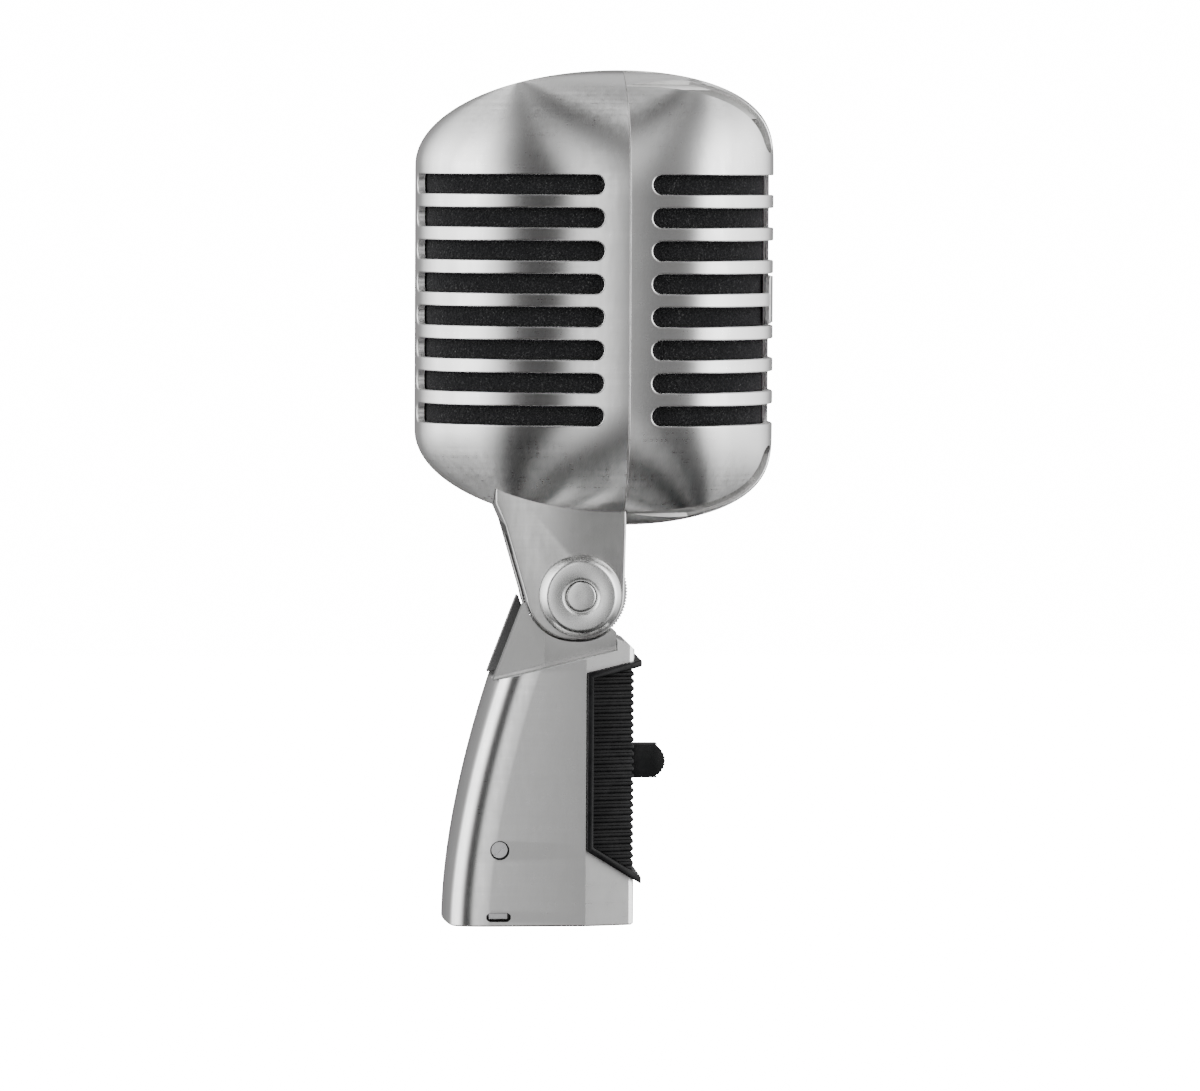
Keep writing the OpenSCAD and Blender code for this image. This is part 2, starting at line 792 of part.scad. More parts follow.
// Bar of the connector's latch, in its slot low on the side
module connector_latch() {
    color(steel) translate([-base_half + 2.9, 17.6, 2.1]) {
        cube([0.9, 4, 1.2], center = true);
    }
}

// Laminated core of the matching transformer
module transformer_core() {
    color(steel) difference() {
        box([-8, 0.4, 26.5], [8, 9.6, 42.5]);
        box([-5, -3, 29], [-2, 13, 40]);
        box([2, -3, 29], [5, 13, 40]);
    }
}

// Winding round the core's middle leg
module transformer_coil() {
    color([0.75, 0.4, 0.2]) difference() {
        box([-4.6, -1.7, 29.4], [4.6, 11.7, 39.6]);
        box([-2.02, -5, 20], [2.02, 13, 50]);
        box([-5, 0.35, 20], [5, 9.65, 50]);
    }
}

// -------------------------------------------------------------- front pieces

// Bands of the grip panel, each a thin slice of the base's front outline
module panel_slices(t, pitch, grow) {
    for (z = [4:pitch:60]) {
        translate([0, 0, z]) linear_extrude(t) offset(delta = grow) front_plan(0, front_edge_y);
    }
}

// Ribbed grip panel that wraps round the base's front
module front_panel() {
    inset = frame_w + 0.05;
    color(black) difference() {
        intersection() {
            side_solid(4 * far) panel_side(inset);
            union() {
                translate([0, 0, 1]) linear_extrude(far)
                    offset(delta = -rib_depth) front_plan(0, front_edge_y);
                panel_slices(rib_pitch * 0.55, rib_pitch, 0);
            }
        }
        linear_extrude(2 * far) offset(delta = -panel_t + 0.05) front_plan(0, 10);
        box([-3.2, -20, knob_z - knob_travel - 4.4], [3.2, 0, knob_z + 4.4]);
        for (z = [knob_z - 15.5, knob_z + 11.5]) {
            translate([0, 0, z]) rod_y(1.15, -20, -8);
        }
    }
}

// Raised frame round the panel; its arms cross the front
module panel_frame() {
    frame_proud = 1.6;
    color(black) difference() {
        intersection() {
            side_solid(4 * far) difference() {
                panel_side(0.05);
                panel_side(frame_w);
            }
            linear_extrude(2 * far) front_plan(frame_proud, front_edge_y);
        }
        linear_extrude(2 * far) offset(delta = -panel_t + 0.05) front_plan(0, 10);
    }
}

// Screws through the grip panel into the base
module panel_screws() {
    color(black) for (z = [knob_z - 15.5, knob_z + 11.5]) {
        translate([0, base_front_y + 0.5, z]) rotate([90, 0, 0]) screw(1.1, 0.1, 1.1, 3.4);
    }
}

// Body of the slide switch, behind the base's front wall
module switch_body() {
    color(steel) difference() {
        box([-6, -8.9, knob_z - knob_travel / 2 - 9], [6, -3.2, knob_z - knob_travel / 2 + 9]);
        box([-2.2, -12, knob_z - knob_travel - 3.2], [2.2, -5, knob_z + 3.2]);
        for (s = [-1, 1]) {
            translate([0, 0, knob_z - knob_travel / 2 + s * 7.3]) rod_y(0.65, -8, 0, $fn = 24);
        }
    }
}

// Screws that hold the slide switch
module switch_screws() {
    color(steel) for (s = [-1, 1]) {
        translate([0, -3.2, knob_z - knob_travel / 2 + s * 7.3])
            rotate([-90, 0, 0]) screw(1.5, 0.8, 0.6, 4);
    }
}

// Solder tags at the back of the switch
module switch_terminals() {
    color([0.85, 0.75, 0.45]) for (x = [-3, 3]) {
        for (s = [-1, 0, 1]) {
            translate([x - 0.5, -3.2, knob_z - knob_travel / 2 + s * 3.6]) cube([1, 0.9, 1.6]);
        }
    }
}

// Leads from the connector to the transformer's coil
module base_leads() {
    route = [[plug_y, 21.2], [12.9, 23.6], [12.9, 33], [12.25, 35]];
    color([0.1, 0.3, 0.7]) for (x = [-1, 1]) {
        for (i = [0:len(route) - 2]) {
            hull() {
                for (p = [route[i], route[i + 1]]) {
                    translate([1.5 * x, p[0], p[1]]) sphere(r = 0.5, $fn = 10);
                }
            }
        }
    }
}

// Slide knob with a rounded, serrated nose
module switch_knob() {
    half = 2.9;
    nose = 3.4;
    teeth = 11;
    y0 = base_front_y;
    tip = y0 - knob_reach;
    color(black) translate([0, 0, knob_z]) difference() {
        union() {
            side_solid(2 * half) polygon(concat(
                [[y0 + 1.2, knob_h / 2], [y0 + 1.2, -knob_h / 2], [tip + nose - 2, -knob_h / 2]],
                [for (i = [0:2 * teeth])
                    let (a = -65 + 130 * i / (2 * teeth), r = 4.2 + (i % 2 == 0 ? 0 : 0.28))
                    [tip + 4.3 - r * cos(a), r * sin(a) * 0.92]],
                [[tip + nose - 2, knob_h / 2]]));
            box([-2, y0 + 1, -2.8], [2, -5.4, 2.8]);
        }
    }
}

front_casing();
rear_casing();
front_foam();
rear_foam();
nameplate();
neck();
neck_screws();
pivot_caps();
friction_wheel();
shock_mount();
capsule_bracket();
bracket_nuts();
capsule_housing();
capsule_grille();
diaphragm();
voice_coil();
magnet();
pole_piece();
top_plate();
head_leads();
base_housing();
swivel_bracket();
bracket_screws();
pivot_pin();
pivot_washers();
thread_insert();
insert_pins();
connector_insulator();
connector_pins();
connector_screw();
connector_latch();
transformer_core();
transformer_coil();
front_panel();
panel_frame();
panel_screws();
switch_body();
switch_screws();
switch_terminals();
base_leads();
switch_knob();
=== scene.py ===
"""Classic side-address microphone: the looks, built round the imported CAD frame.

Lengths inside the helpers are in millimetres and become metres when a mesh is made.
"""
import json
import math

import bmesh
import bpy
import numpy as np
from mathutils import Matrix, Vector


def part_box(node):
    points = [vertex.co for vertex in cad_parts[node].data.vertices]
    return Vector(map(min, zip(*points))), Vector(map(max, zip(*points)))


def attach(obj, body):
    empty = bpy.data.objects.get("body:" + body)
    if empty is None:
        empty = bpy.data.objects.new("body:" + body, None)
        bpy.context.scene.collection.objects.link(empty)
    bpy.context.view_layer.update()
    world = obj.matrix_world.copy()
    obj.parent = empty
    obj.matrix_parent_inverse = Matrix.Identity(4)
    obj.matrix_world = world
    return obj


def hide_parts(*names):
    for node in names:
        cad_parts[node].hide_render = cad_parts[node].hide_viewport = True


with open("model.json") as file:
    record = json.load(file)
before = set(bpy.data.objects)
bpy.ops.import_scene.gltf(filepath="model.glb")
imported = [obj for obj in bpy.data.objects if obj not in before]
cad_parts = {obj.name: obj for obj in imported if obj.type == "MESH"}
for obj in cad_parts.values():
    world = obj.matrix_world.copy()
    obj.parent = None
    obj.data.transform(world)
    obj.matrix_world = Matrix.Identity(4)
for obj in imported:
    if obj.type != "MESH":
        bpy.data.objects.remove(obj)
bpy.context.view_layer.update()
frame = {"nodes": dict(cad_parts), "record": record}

MM = 0.001


# ------------------------------------------------------------------ measures

def box_mm(node):
    low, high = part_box(node)
    return np.array(low) / MM, np.array(high) / MM


rear_low, rear_high = box_mm("rear_casing")
neck_low, neck_high = box_mm("neck")
cap_high = box_mm("pivot_caps")[1]
knob_low, knob_high = box_mm("switch_knob")
pin_low, pin_high = box_mm("pivot_pin")
thread_top = box_mm("thread_insert")[1][2]

# Head
PARTING = rear_low[1]
REAR = 44.85
FRONT = 33.3
HALF_W = rear_high[0]
HALF_H = 49.7
HEAD_Z = rear_high[2] - HALF_H
DOME = 20.8
ARCH = 28.0
WALL = 1.7
SIDE_REACH = 50.0
CROWN_REACH = 60.0
CREASE_POWER = 14.0
FRONT_POWER = 2.6
FRONT_DOME_POWER = 3.0

# Slots
ROWS = 8
PITCH = 7.09
SLOT = 4.25
REAR_GAP = 5.6
FRONT_GAP = 4.9
SPINE = 4.3
SLOT_EDGE = 0.3
SEAM = 0.2

# Ribs and grooves on the front, as distances from the middle
MID_RIB = 2.6
RIB_IN, RIB_OUT = 5.0, 8.6
GROOVE_OUT = 13.8
GROOVE_END = 31.7
PLATE_HALF, PLATE_HALF_H = 11.9, 5.3

# Hinge
PIVOT = np.array([0.0, 0.0, (pin_low[2] + pin_high[2]) / 2])
PIN_R = (pin_high[2] - pin_low[2]) / 2
NECK_HALF = neck_high[0]
CHEEK_R = 9.7
GAP_HALF = 7.3

# Base
BASE_HALF = 16.4
REAR_Y = 29.15
FRONT_Y = -12.0
LEAN, LEAN_Z, LEAN_POWER = 2.85, 25.2, 1.7
CROWN_HALF, CROWN_LEN = 12.4, 1.7
TURN_LEN, TURN_RATE = 9.6, 2.25
FRONT_EDGE_Y = -1.3
CORNER = (14.2, -10.9)
NOSE_HALF = 12.9
PANEL_T = 1.6
JOINT_Z, JOINT_SLOPE = 58.1, math.radians(14)
SOCKET_Y, SOCKET_R, SOCKET_DEPTH = 18.3, 8.1, 15.0
THREAD_R = 7.45
SCREW = (17.4, 16.7)
# The grip panel's recess from the side: top and low levels at its rear and at its front
RECESS_REAR, RECESS_FRONT = FRONT_EDGE_Y - 0.1, -22.0
RECESS_TOP, RECESS_LOW = (55.4, 60.0), (16.6, 3.6)


# --------------------------------------------------------------- mesh helpers

def link(name, mesh):
    obj = bpy.data.objects.new(name, mesh)
    bpy.context.scene.collection.objects.link(obj)
    return obj


def mesh_object(name, points, faces):
    """A new object from points in millimetres, with its faces turned outwards."""
    mesh = bpy.data.meshes.new(name)
    mesh.from_pydata([tuple(float(c) * MM for c in p) for p in points], [], [tuple(f) for f in faces])
    mesh.validate()
    bm = bmesh.new()
    bm.from_mesh(mesh)
    bmesh.ops.remove_doubles(bm, verts=bm.verts, dist=1e-7)
    bmesh.ops.recalc_face_normals(bm, faces=bm.faces)
    bm.to_mesh(mesh)
    bm.free()
    mesh.validate()
    return link(name, mesh)


def apply_modifiers(obj):
    graph = bpy.context.evaluated_depsgraph_get()
    mesh = bpy.data.meshes.new_from_object(obj.evaluated_get(graph))
    obj.modifiers.clear()
    obj.data = mesh
    return obj


def remove(obj):
    bpy.data.objects.remove(obj, do_unlink=True)


def joined(objects, name):
    """The objects' meshes in one new object."""
    bm = bmesh.new()
    for o in objects:
        bm.from_mesh(o.data)
        remove(o)
    mesh = bpy.data.meshes.new(name)
    bm.to_mesh(mesh)
    bm.free()
    return link(name, mesh)


def carve(obj, cutters, operation="DIFFERENCE"):
    """Cuts the cutters out of obj, or keeps only what they share, and removes them."""
    for cutter in cutters:
        modifier = obj.modifiers.new("cut", "BOOLEAN")
        modifier.operation = operation
        modifier.solver = "EXACT"
        modifier.object = cutter
    apply_modifiers(obj)
    for cutter in cutters:
        remove(cutter)
    return obj


def soften(obj, width, segments=3, angle=35):
    """Rounds the edges that are sharper than angle."""
    modifier = obj.modifiers.new("round", "BEVEL")
    modifier.width = width * MM
    modifier.segments = segments
    modifier.limit_method = "ANGLE"
    modifier.angle_limit = math.radians(angle)
    modifier.harden_normals = False
    modifier.use_clamp_overlap = True
    return apply_modifiers(obj)


def shade(obj, angle=32):
    """Smooth shading, except across edges sharper than angle."""
    mesh = obj.data
    for polygon in mesh.polygons:
        polygon.use_smooth = True
    mesh.set_sharp_from_angle(angle=math.radians(angle))
    return obj


def loft(name, rings, closed_ring=True, cap=True):
    """A skin over rings of points, all of one length, with flat ends if cap."""
    n = len(rings[0])
    points = [p for ring in rings for p in ring]
    faces = []
    for k in range(len(rings) - 1):
        for i in range(n if closed_ring else n - 1):
            j = (i + 1) % n
            faces.append((k * n + i, k * n + j, (k + 1) * n + j, (k + 1) * n + i))
    if cap:
        faces.append(tuple(range(n)))
        faces.append(tuple((len(rings) - 1) * n + i for i in range(n)))
    return mesh_object(name, points, faces)


def prism_x(name, outline, x0, x1):
    """A side-view outline (y, z) given thickness along X."""
    return loft(name, [[(x, y, z) for y, z in outline] for x in (x0, x1)])


def prism_z(name, outline, z0, z1):
    """A plan outline (x, y) given height."""
    return loft(name, [[(x, y, z) for x, y in outline] for z in (z0, z1)])


def block(name, low, high):
    return prism_z(name, [(low[0], low[1]), (high[0], low[1]), (high[0], high[1]), (low[0], high[1])],
                   low[2], high[2])


def arc(cx, cy, r, start, end, steps):
    """Points on a circle between two angles in degrees."""
    angles = np.radians(np.linspace(start, end, steps + 1))
    return [(cx + r * math.cos(a), cy + r * math.sin(a)) for a in angles]


def lathe(name, profile, origin, axis="z", steps=96):
    """A profile (radius, height) turned round an axis through origin."""
    rings = []
    for k in range(steps):
        a = 2 * math.pi * k / steps
        ring = []
        for r, h in profile:
            u, v = r * math.cos(a), r * math.sin(a)
            p = {"x": (h, u, v), "y": (v, h, u), "z": (u, v, h)}[axis]
            ring.append(tuple(np.array(origin) + p))
        rings.append(ring)
    rings.append(rings[0])
    return loft(name, rings, cap=False)


def rod(name, r, origin, axis, h0, h1, steps=64):
    return lathe(name, [(0, h0), (r, h0), (r, h1), (0, h1)], origin, axis, steps)


# ---------------------------------------------------------------- head surface

def outline_r(a, z, inset):
    """Distance from the head's axis to its outline at angle a from the rear, level z."""
    s, c = np.abs(np.sin(a)), np.abs(np.cos(a))
    t = rise(z, DOME, inset)
    w, d, f = HALF_W - inset, REAR - inset, FRONT - inset
    k = 2 + (CREASE_POWER - 2) * (1 - t) ** 2
    b = ((1 / d) ** k - (1 / SIDE_REACH) ** k) ** (1 / k)
    side = np.hypot(s / w, c / SIDE_REACH)
    crown = np.hypot(s * (1 - t) / CROWN_REACH, c * b)
    rear = 1 / (side ** k + crown ** k) ** (1 / k)
    front = 1 / ((s / w) ** FRONT_POWER + (c / f) ** FRONT_POWER) ** (1 / FRONT_POWER)
    return np.where(np.cos(a) > 0, rear, front)


def rise(z, h, inset):
    """How far up a dome of height h the level z lies, from 0 to 1."""
    return np.clip((np.abs(z) - (HALF_H - h)) / (h - inset), 0, 1)


def scales(z, inset):
    """How much the outline has shrunk at level z: across, at the rear and at the front."""
    tx, ty = rise(z, ARCH, inset), rise(z, DOME, inset)
    return np.sqrt(1 - tx ** 2), np.sqrt(1 - ty ** 2), np.sqrt(1 - ty ** FRONT_DOME_POWER)


def head_points(a, z, inset=0.0):
    """Points of the head's surface, moved inwards by inset."""
    a, z, inset = np.broadcast_arrays(np.asarray(a, float), np.asarray(z, float), np.asarray(inset, float))
    r = outline_r(a, z, inset)
    sx, rear, front = scales(z, inset)
    sy = np.where(np.cos(a) > 0, rear, front)
    return np.stack([r * np.sin(a) * sx, PARTING + r * np.cos(a) * sy, HEAD_Z + z], -1)


def head_level(p):
    """Zero on the head's surface, growing outwards."""
    z = np.clip(p[..., 2] - HEAD_Z, -HALF_H + 0.02, HALF_H - 0.02)
    y = p[..., 1] - PARTING
    sx, rear, front = scales(z, 0.0)
    x, y = p[..., 0] / sx, y / np.where(y > 0, rear, front)
    return np.hypot(x, y) / outline_r(np.arctan2(x, y), z, 0.0) - 1


def head_normals(p):
    """Unit normals of the head's surface at, or near, the points p."""
    step = 0.02
    g = np.stack([head_level(p + step * e) - head_level(p - step * e) for e in np.eye(3)], -1)
    pole = np.abs(p[..., 2] - HEAD_Z) > HALF_H - 0.12
    g[pole] = np.stack([0 * p[pole, 0], 0 * p[pole, 0], np.sign(p[pole, 2] - HEAD_Z)], -1)
    return g / np.linalg.norm(g, axis=-1, keepdims=True)


def levels(count, inset=0.0):
    """Heights of count rings, evenly spaced along the head's rear meridian."""
    z = np.linspace(-1, 1, 2001) * (HALF_H - inset)
    y = (REAR - inset) * scales(z, inset)[1]
    along = np.concatenate([[0], np.cumsum(np.hypot(np.diff(z), np.diff(y)))])
    return np.interp(np.linspace(0, along[-1], count + 2)[1:-1], along, z)


class Girth:
    """Distance along the head's outline at mid-height, from the middle of one half."""

    def __init__(self, middle):
        a = middle + np.radians(np.linspace(-90, 90, 1801))
        p = head_points(a, 0.0)
        self.a = a
        self.s = np.concatenate([[0], np.cumsum(np.linalg.norm(np.diff(p, axis=0), axis=1))])
        self.s -= self.s[-1] / 2
        self.p = p

    def angle(self, s):
        return np.interp(s, self.s, self.a)

    def at(self, test):
        """Distance to the first point past the middle for which test(point) is true."""
        half = len(self.s) // 2
        hit = next(i for i in range(half, len(self.s)) if test(self.p[i]))
        return abs(self.s[hit])


rear_girth = Girth(0.0)
front_girth = Girth(math.pi)


def half_shell(name, girth, columns, rows, inset, thickness, seam):
    """One half of the head's wall, closed along the parting plane."""
    s = np.linspace(girth.s[0], girth.s[-1], columns)
    # One more column close to the seam, so that its edge can be chamfered.
    s = np.concatenate([[s[0], s[0] + seam], s[1:-1], [s[-1] - seam, s[-1]]])
    chamfer = np.zeros(len(s))
    chamfer[[0, -1]] = seam
    a = girth.angle(s)
    n = len(s)
    skins = []
    for k, depth in enumerate((inset, inset + thickness)):
        z = levels(rows, depth)
        # The chamfer runs out before the poles.
        fade = np.clip((HALF_H - depth - np.abs(z)) / 1.5, 0, 1) if k == 0 else 0 * z
        pole = HALF_H - depth
        grid = head_points(a[None, :], z[:, None], depth + chamfer[None, :] * fade[:, None])
        skins.append((grid.reshape(-1, 3), [(0, PARTING, HEAD_Z - pole), (0, PARTING, HEAD_Z + pole)]))
    points = np.concatenate([skins[0][0], skins[1][0], skins[0][1], skins[1][1]])
    o = n * rows
    faces = []
    for d in (0, 1):
        for k in range(rows - 1):
            for i in range(n - 1):
                q = d * o + k * n + i
                faces.append((q, q + 1, q + n + 1, q + n))
        for i in range(n - 1):
            faces.append((2 * o + 2 * d, d * o + i, d * o + i + 1))
            faces.append((2 * o + 2 * d + 1, d * o + (rows - 1) * n + i, d * o + (rows - 1) * n + i + 1))
    for i in (0, n - 1):
        for k in range(rows - 1):
            q = k * n + i
            faces.append((q, q + n, q + n + o, q + o))
        faces.append((i, 2 * o, 2 * o + 2, i + o))
        q = (rows - 1) * n + i
        faces.append((q, 2 * o + 1, 2 * o + 3, q + o))
    return mesh_object(name, points, faces)


def slot_loop(s0, s1, height, grow, round_start=True, round_end=True):
    """(s, z) pairs of a slot's outline as upper and lower edges, from s0 to s1, grown by grow."""
    r = height / 2
    ends = 8
    turn = np.linspace(0, math.pi / 2, ends + 1)
    first = [(s0 + r - (r + grow) * math.cos(t), (r + grow) * math.sin(t)) for t in turn] if round_start \
        else [(s0 - grow, r + grow)]
    last = [(s1 - r + (r + grow) * math.cos(t), (r + grow) * math.sin(t)) for t in turn[::-1]] if round_end \
        else [(s1 + grow, r + grow)]
    a, b = first[-1][0], last[0][0]
    middle = [(a + (b - a) * t, r + grow) for t in np.linspace(0, 1, max(3, int(abs(s1 - s0))))[1:-1]]
    return first + middle + last


def slot_cutter(name, girth, s0, s1, z, height, profile, round_start=True, round_end=True):
    """A cutter for one slot. profile lists (inset, growth) from outside the head to inside."""
    rings = []
    for inset, grow in profile:
        loop = slot_loop(s0, s1, height, grow, round_start, round_end)
        up = [(s, h) for s, h in loop]
        down = [(s, -h) for s, h in loop[::-1] if h > 1e-6]
        s, h = np.array(up + down).T
        rings.append(head_points(girth.angle(s), z + h, inset))
    m = len(rings[0])
    faces = []
    for k in range(len(rings) - 1):
        for i in range(m):
            j = (i + 1) % m
            faces.append((k * m + i, k * m + j, (k + 1) * m + j, (k + 1) * m + i))
    top = len(up)
    start_tip = 1 if up[0][1] <= 1e-6 else 0
    end_tip = 1 if up[-1][1] <= 1e-6 else 0
    for k in (0, len(rings) - 1):
        low = [k * m + (top - 1 - end_tip) + 1 + end_tip + i for i in range(m - top)][::-1]
        high = [k * m + i for i in range(top)]
        pairs = list(zip(high[start_tip:top - end_tip], low))
        if start_tip:
            faces.append((high[0], pairs[0][0], pairs[0][1]))
        for (p, q), (p2, q2) in zip(pairs, pairs[1:]):
            faces.append((p, p2, q2, q))
        if end_tip:
            faces.append((pairs[-1][0], high[-1], pairs[-1][1]))
    return mesh_object(name, np.concatenate(rings), faces)


def round_profile(edge, depth):
    """Cutter profile for a slot with a rounded edge of radius edge."""
    turn = np.radians([0, 30, 60, 90])
    return [(-1.0, edge)] + [(edge * (1 - math.cos(t)), edge * (1 - math.sin(t))) for t in turn] + [(depth, 0.0)]


def row_level(i):
    return (i - (ROWS - 1) / 2) * PITCH


def front_y(x, z):
    """Place in y of the front surface at x and height z above the head's centre."""
    sx, _, sy = scales(z, 0.0)
    u = np.clip(np.abs(x) / (HALF_W * sx), 0, 1)
    return PARTING - FRONT * sy * (1 - u ** FRONT_POWER) ** (1 / FRONT_POWER)


def groove_cutter(name, x0, x1, sign, z_end, z_start, depth, edge):
    """A groove along the front dome, from the crest down to z_end, with a round lower end."""
    mid, half = (x0 + x1) / 2, (x1 - x0) / 2
    z = np.linspace(0, 1, 4001) * (z_start - z_end) + z_end
    y = front_y(mid, z)
    along = np.concatenate([[0], np.cumsum(np.hypot(np.diff(z), np.diff(y)))])
    distance = np.concatenate([half * (1 - np.cos(np.radians(np.linspace(8, 90, 9)))),
                               np.linspace(half, along[-1], 48)[1:]])
    rings = []
    for d in distance:
        zs = np.interp(d, along, z)
        w = half * math.sqrt(max(0.0, 1 - (1 - d / half) ** 2)) if d < half else half
        section = [(-w - edge, 1.5), (-w - edge, 0.1), (-w, -edge), (-w, -depth),
                   (w, -depth), (w, -edge), (w + edge, 0.1), (w + edge, 1.5)]
        xs = mid + np.array([q[0] for q in section])
        p = np.stack([xs, front_y(xs, zs), HEAD_Z + sign * zs + 0 * xs], -1)
        rings.append(p + head_normals(p) * np.array([q[1] for q in section])[:, None])
    return loft(name, rings)


def shade_from(obj, surface, choose):
    """Normals from surface(points in mm) where choose(points, facing) holds, elsewhere the faces' own."""
    mesh = obj.data
    points = np.empty(len(mesh.vertices) * 3)
    mesh.vertices.foreach_get("co", points)
    points = points.reshape(-1, 3) / MM
    faces = np.empty(len(mesh.polygons) * 3)
    mesh.polygons.foreach_get("normal", faces)
    loops = np.empty(len(mesh.loops), int)
    mesh.loops.foreach_get("vertex_index", loops)
    totals = np.empty(len(mesh.polygons), int)
    mesh.polygons.foreach_get("loop_total", totals)
    own = faces.reshape(-1, 3)[np.repeat(np.arange(len(mesh.polygons)), totals)]
    shared = surface(points)[loops]
    facing = np.sum(own * shared, axis=1)
    # Inward faces take the surface's normal turned round.
    turned = shared * np.where(facing < 0, -1, 1)[:, None]
    smooth = np.where(choose(points[loops], facing)[:, None], turned, own)
    for polygon in mesh.polygons:
        polygon.use_smooth = True
    mesh.normals_split_custom_set(smooth.tolist())
    return obj


def shade_by_surface(obj):
    """Smooth shading from the head's own normals; chamfers and slot walls keep their faces' normals."""
    return shade_from(obj, head_normals, lambda p, facing: np.abs(facing) > 0.985)


# ---------------------------------------------------------------- base outline

def rear_y(z):
    return REAR_Y - LEAN * (max(0.0, z) / LEAN_Z) ** LEAN_POWER


def half_at(d):
    """Half-width of the base at the distance d in front of its rear face."""
    u = max(0.0, 1 - d / CROWN_LEN)
    turn = (1 - math.exp(-min(d, TURN_LEN) / TURN_RATE)) / (1 - math.exp(-TURN_LEN / TURN_RATE))
    return CROWN_HALF * math.sqrt(1 - u * u) + (BASE_HALF - CROWN_HALF) * turn


FRONT_CORNERS = [(BASE_HALF, FRONT_EDGE_Y), (CORNER[0], CORNER[1]), (CORNER[0] - 0.4, CORNER[1] - 0.8),
                 (NOSE_HALF, FRONT_Y)]


def base_outline(z):
    y = rear_y(z)
    share = [(i / 40) ** 2.2 for i in range(1, 41)]
    half = [(half_at(TURN_LEN * v), y - TURN_LEN * v) for v in share]
    half = [(half_at(0.01), y)] + half + FRONT_CORNERS
    return half + [(-x, v) for x, v in half[::-1]]


def front_plan(grow):
    """Outline of the front, moved outwards by grow, and straight on behind the edge."""
    half = [(BASE_HALF + grow, FRONT_EDGE_Y + 0.1), (BASE_HALF + grow, FRONT_EDGE_Y),
            (CORNER[0] + grow, CORNER[1]), (NOSE_HALF + grow, FRONT_Y - grow)]
    return half + [(-x, y) for x, y in half[::-1]]


# ------------------------------------------------------------------ materials

def material(name, metallic=0.0, coat=0.0, ior=1.5):
    """A new node material and its shader."""
    mat = bpy.data.materials.new(name)
    mat.use_nodes = True
    shader = mat.node_tree.nodes["Principled BSDF"]
    shader.inputs["Metallic"].default_value = metallic
    shader.inputs["Coat Weight"].default_value = coat
    shader.inputs["Coat Roughness"].default_value = 0.12
    shader.inputs["IOR"].default_value = ior
    return mat, shader


def node(mat, kind, **inputs):
    """A new node of this kind with some of its inputs set."""
    n = mat.node_tree.nodes.new(kind)
    for key, value in inputs.items():
        n.inputs[key.replace("_", " ")].default_value = value
    return n


def wire(mat, source, target):
    mat.node_tree.links.new(source, target)


def object_space(mat, scale):
    """Coordinates in the object's own axes, stretched by scale, in repeats per metre."""
    where = node(mat, "ShaderNodeTexCoord")
    stretch = node(mat, "ShaderNodeMapping")
    stretch.inputs["Scale"].default_value = scale
    wire(mat, where.outputs["Object"], stretch.inputs["Vector"])
    return stretch.outputs["Vector"]


def noise(mat, scale, detail=4.0, roughness=0.55):
    n = node(mat, "ShaderNodeTexNoise", Scale=1.0, Detail=detail, Roughness=roughness)
    wire(mat, object_space(mat, scale), n.inputs["Vector"])
    return n.outputs["Fac"]


def ramp(mat, value, stops):
    """value passed through stops of (place, grey or colour)."""
    r = node(mat, "ShaderNodeValToRGB")
    elements = r.color_ramp.elements
    while len(elements) < len(stops):
        elements.new(0.5)
    for element, (place, tone) in zip(elements, stops):
        element.position = place
        element.color = (*tone, 1) if isinstance(tone, tuple) else (tone, tone, tone, 1)
    wire(mat, value, r.inputs["Fac"])
    return r.outputs["Color"]


def total(mat, a, b, operation="MULTIPLY"):
    m = node(mat, "ShaderNodeMath")
    m.operation = operation
    wire(mat, a, m.inputs[0])
    if isinstance(b, (int, float)):
        m.inputs[1].default_value = b
    else:
        wire(mat, b, m.inputs[1])
    return m.outputs["Value"]


def bump(mat, shader, heights):
    """Bumps stacked on the shader's normal: (height, strength, distance in mm)."""
    normal = None
    for height, strength, distance in heights:
        b = node(mat, "ShaderNodeBump", Strength=strength, Distance=distance * MM)
        wire(mat, height, b.inputs["Height"])
        if normal is not None:
            wire(mat, normal, b.inputs["Normal"])
        normal = b.outputs["Normal"]
    wire(mat, normal, shader.inputs["Normal"])


def brushed(name, tone, rough, grain, along="x", strength=0.05, smear=0.65, spread=0.045, wear=0.03):
    """Satin metal: fine grain lines across one axis, soft blotches and faint scratches."""
    mat, shader = material(name, metallic=1.0)
    fine, coarse = grain * 1000, 30.0
    stretch = {"x": (coarse, coarse, fine), "z": (fine, fine, coarse), "round": (fine, fine, fine)}[along]
    lines = noise(mat, stretch, 3.0, 0.65)
    broad = noise(mat, tuple(v / 5 for v in stretch), 3.0, 0.6)
    blotch = noise(mat, (70, 70, 70), 5.0, 0.6)
    scratch = noise(mat, (900, 900, 180), 6.0, 0.7)
    low, high = tuple(max(0.0, c - wear) for c in tone), tuple(min(1.0, c + wear * 0.6) for c in tone)
    wire(mat, ramp(mat, blotch, [(0.3, low), (0.7, high)]), shader.inputs["Base Color"])
    mix = total(mat, ramp(mat, lines, [(0.25, rough - spread), (0.75, rough + spread)]),
                ramp(mat, scratch, [(0.35, 0.9), (0.65, 1.1 if rough > 0.2 else 1.0)]))
    wire(mat, mix, shader.inputs["Roughness"])
    bump(mat, shader, [(broad, strength * 0.6, 0.02), (lines, strength, 0.01)])
    if along == "x":
        # Lines across blur reflections up and down more than sideways.
        tangent = node(mat, "ShaderNodeTangent")
        tangent.direction_type = "RADIAL"
        tangent.axis = "Z"
        wire(mat, tangent.outputs["Tangent"], shader.inputs["Tangent"])
        shader.inputs["Anisotropic"].default_value = smear
        shader.inputs["Anisotropic Rotation"].default_value = 0.25
    return mat


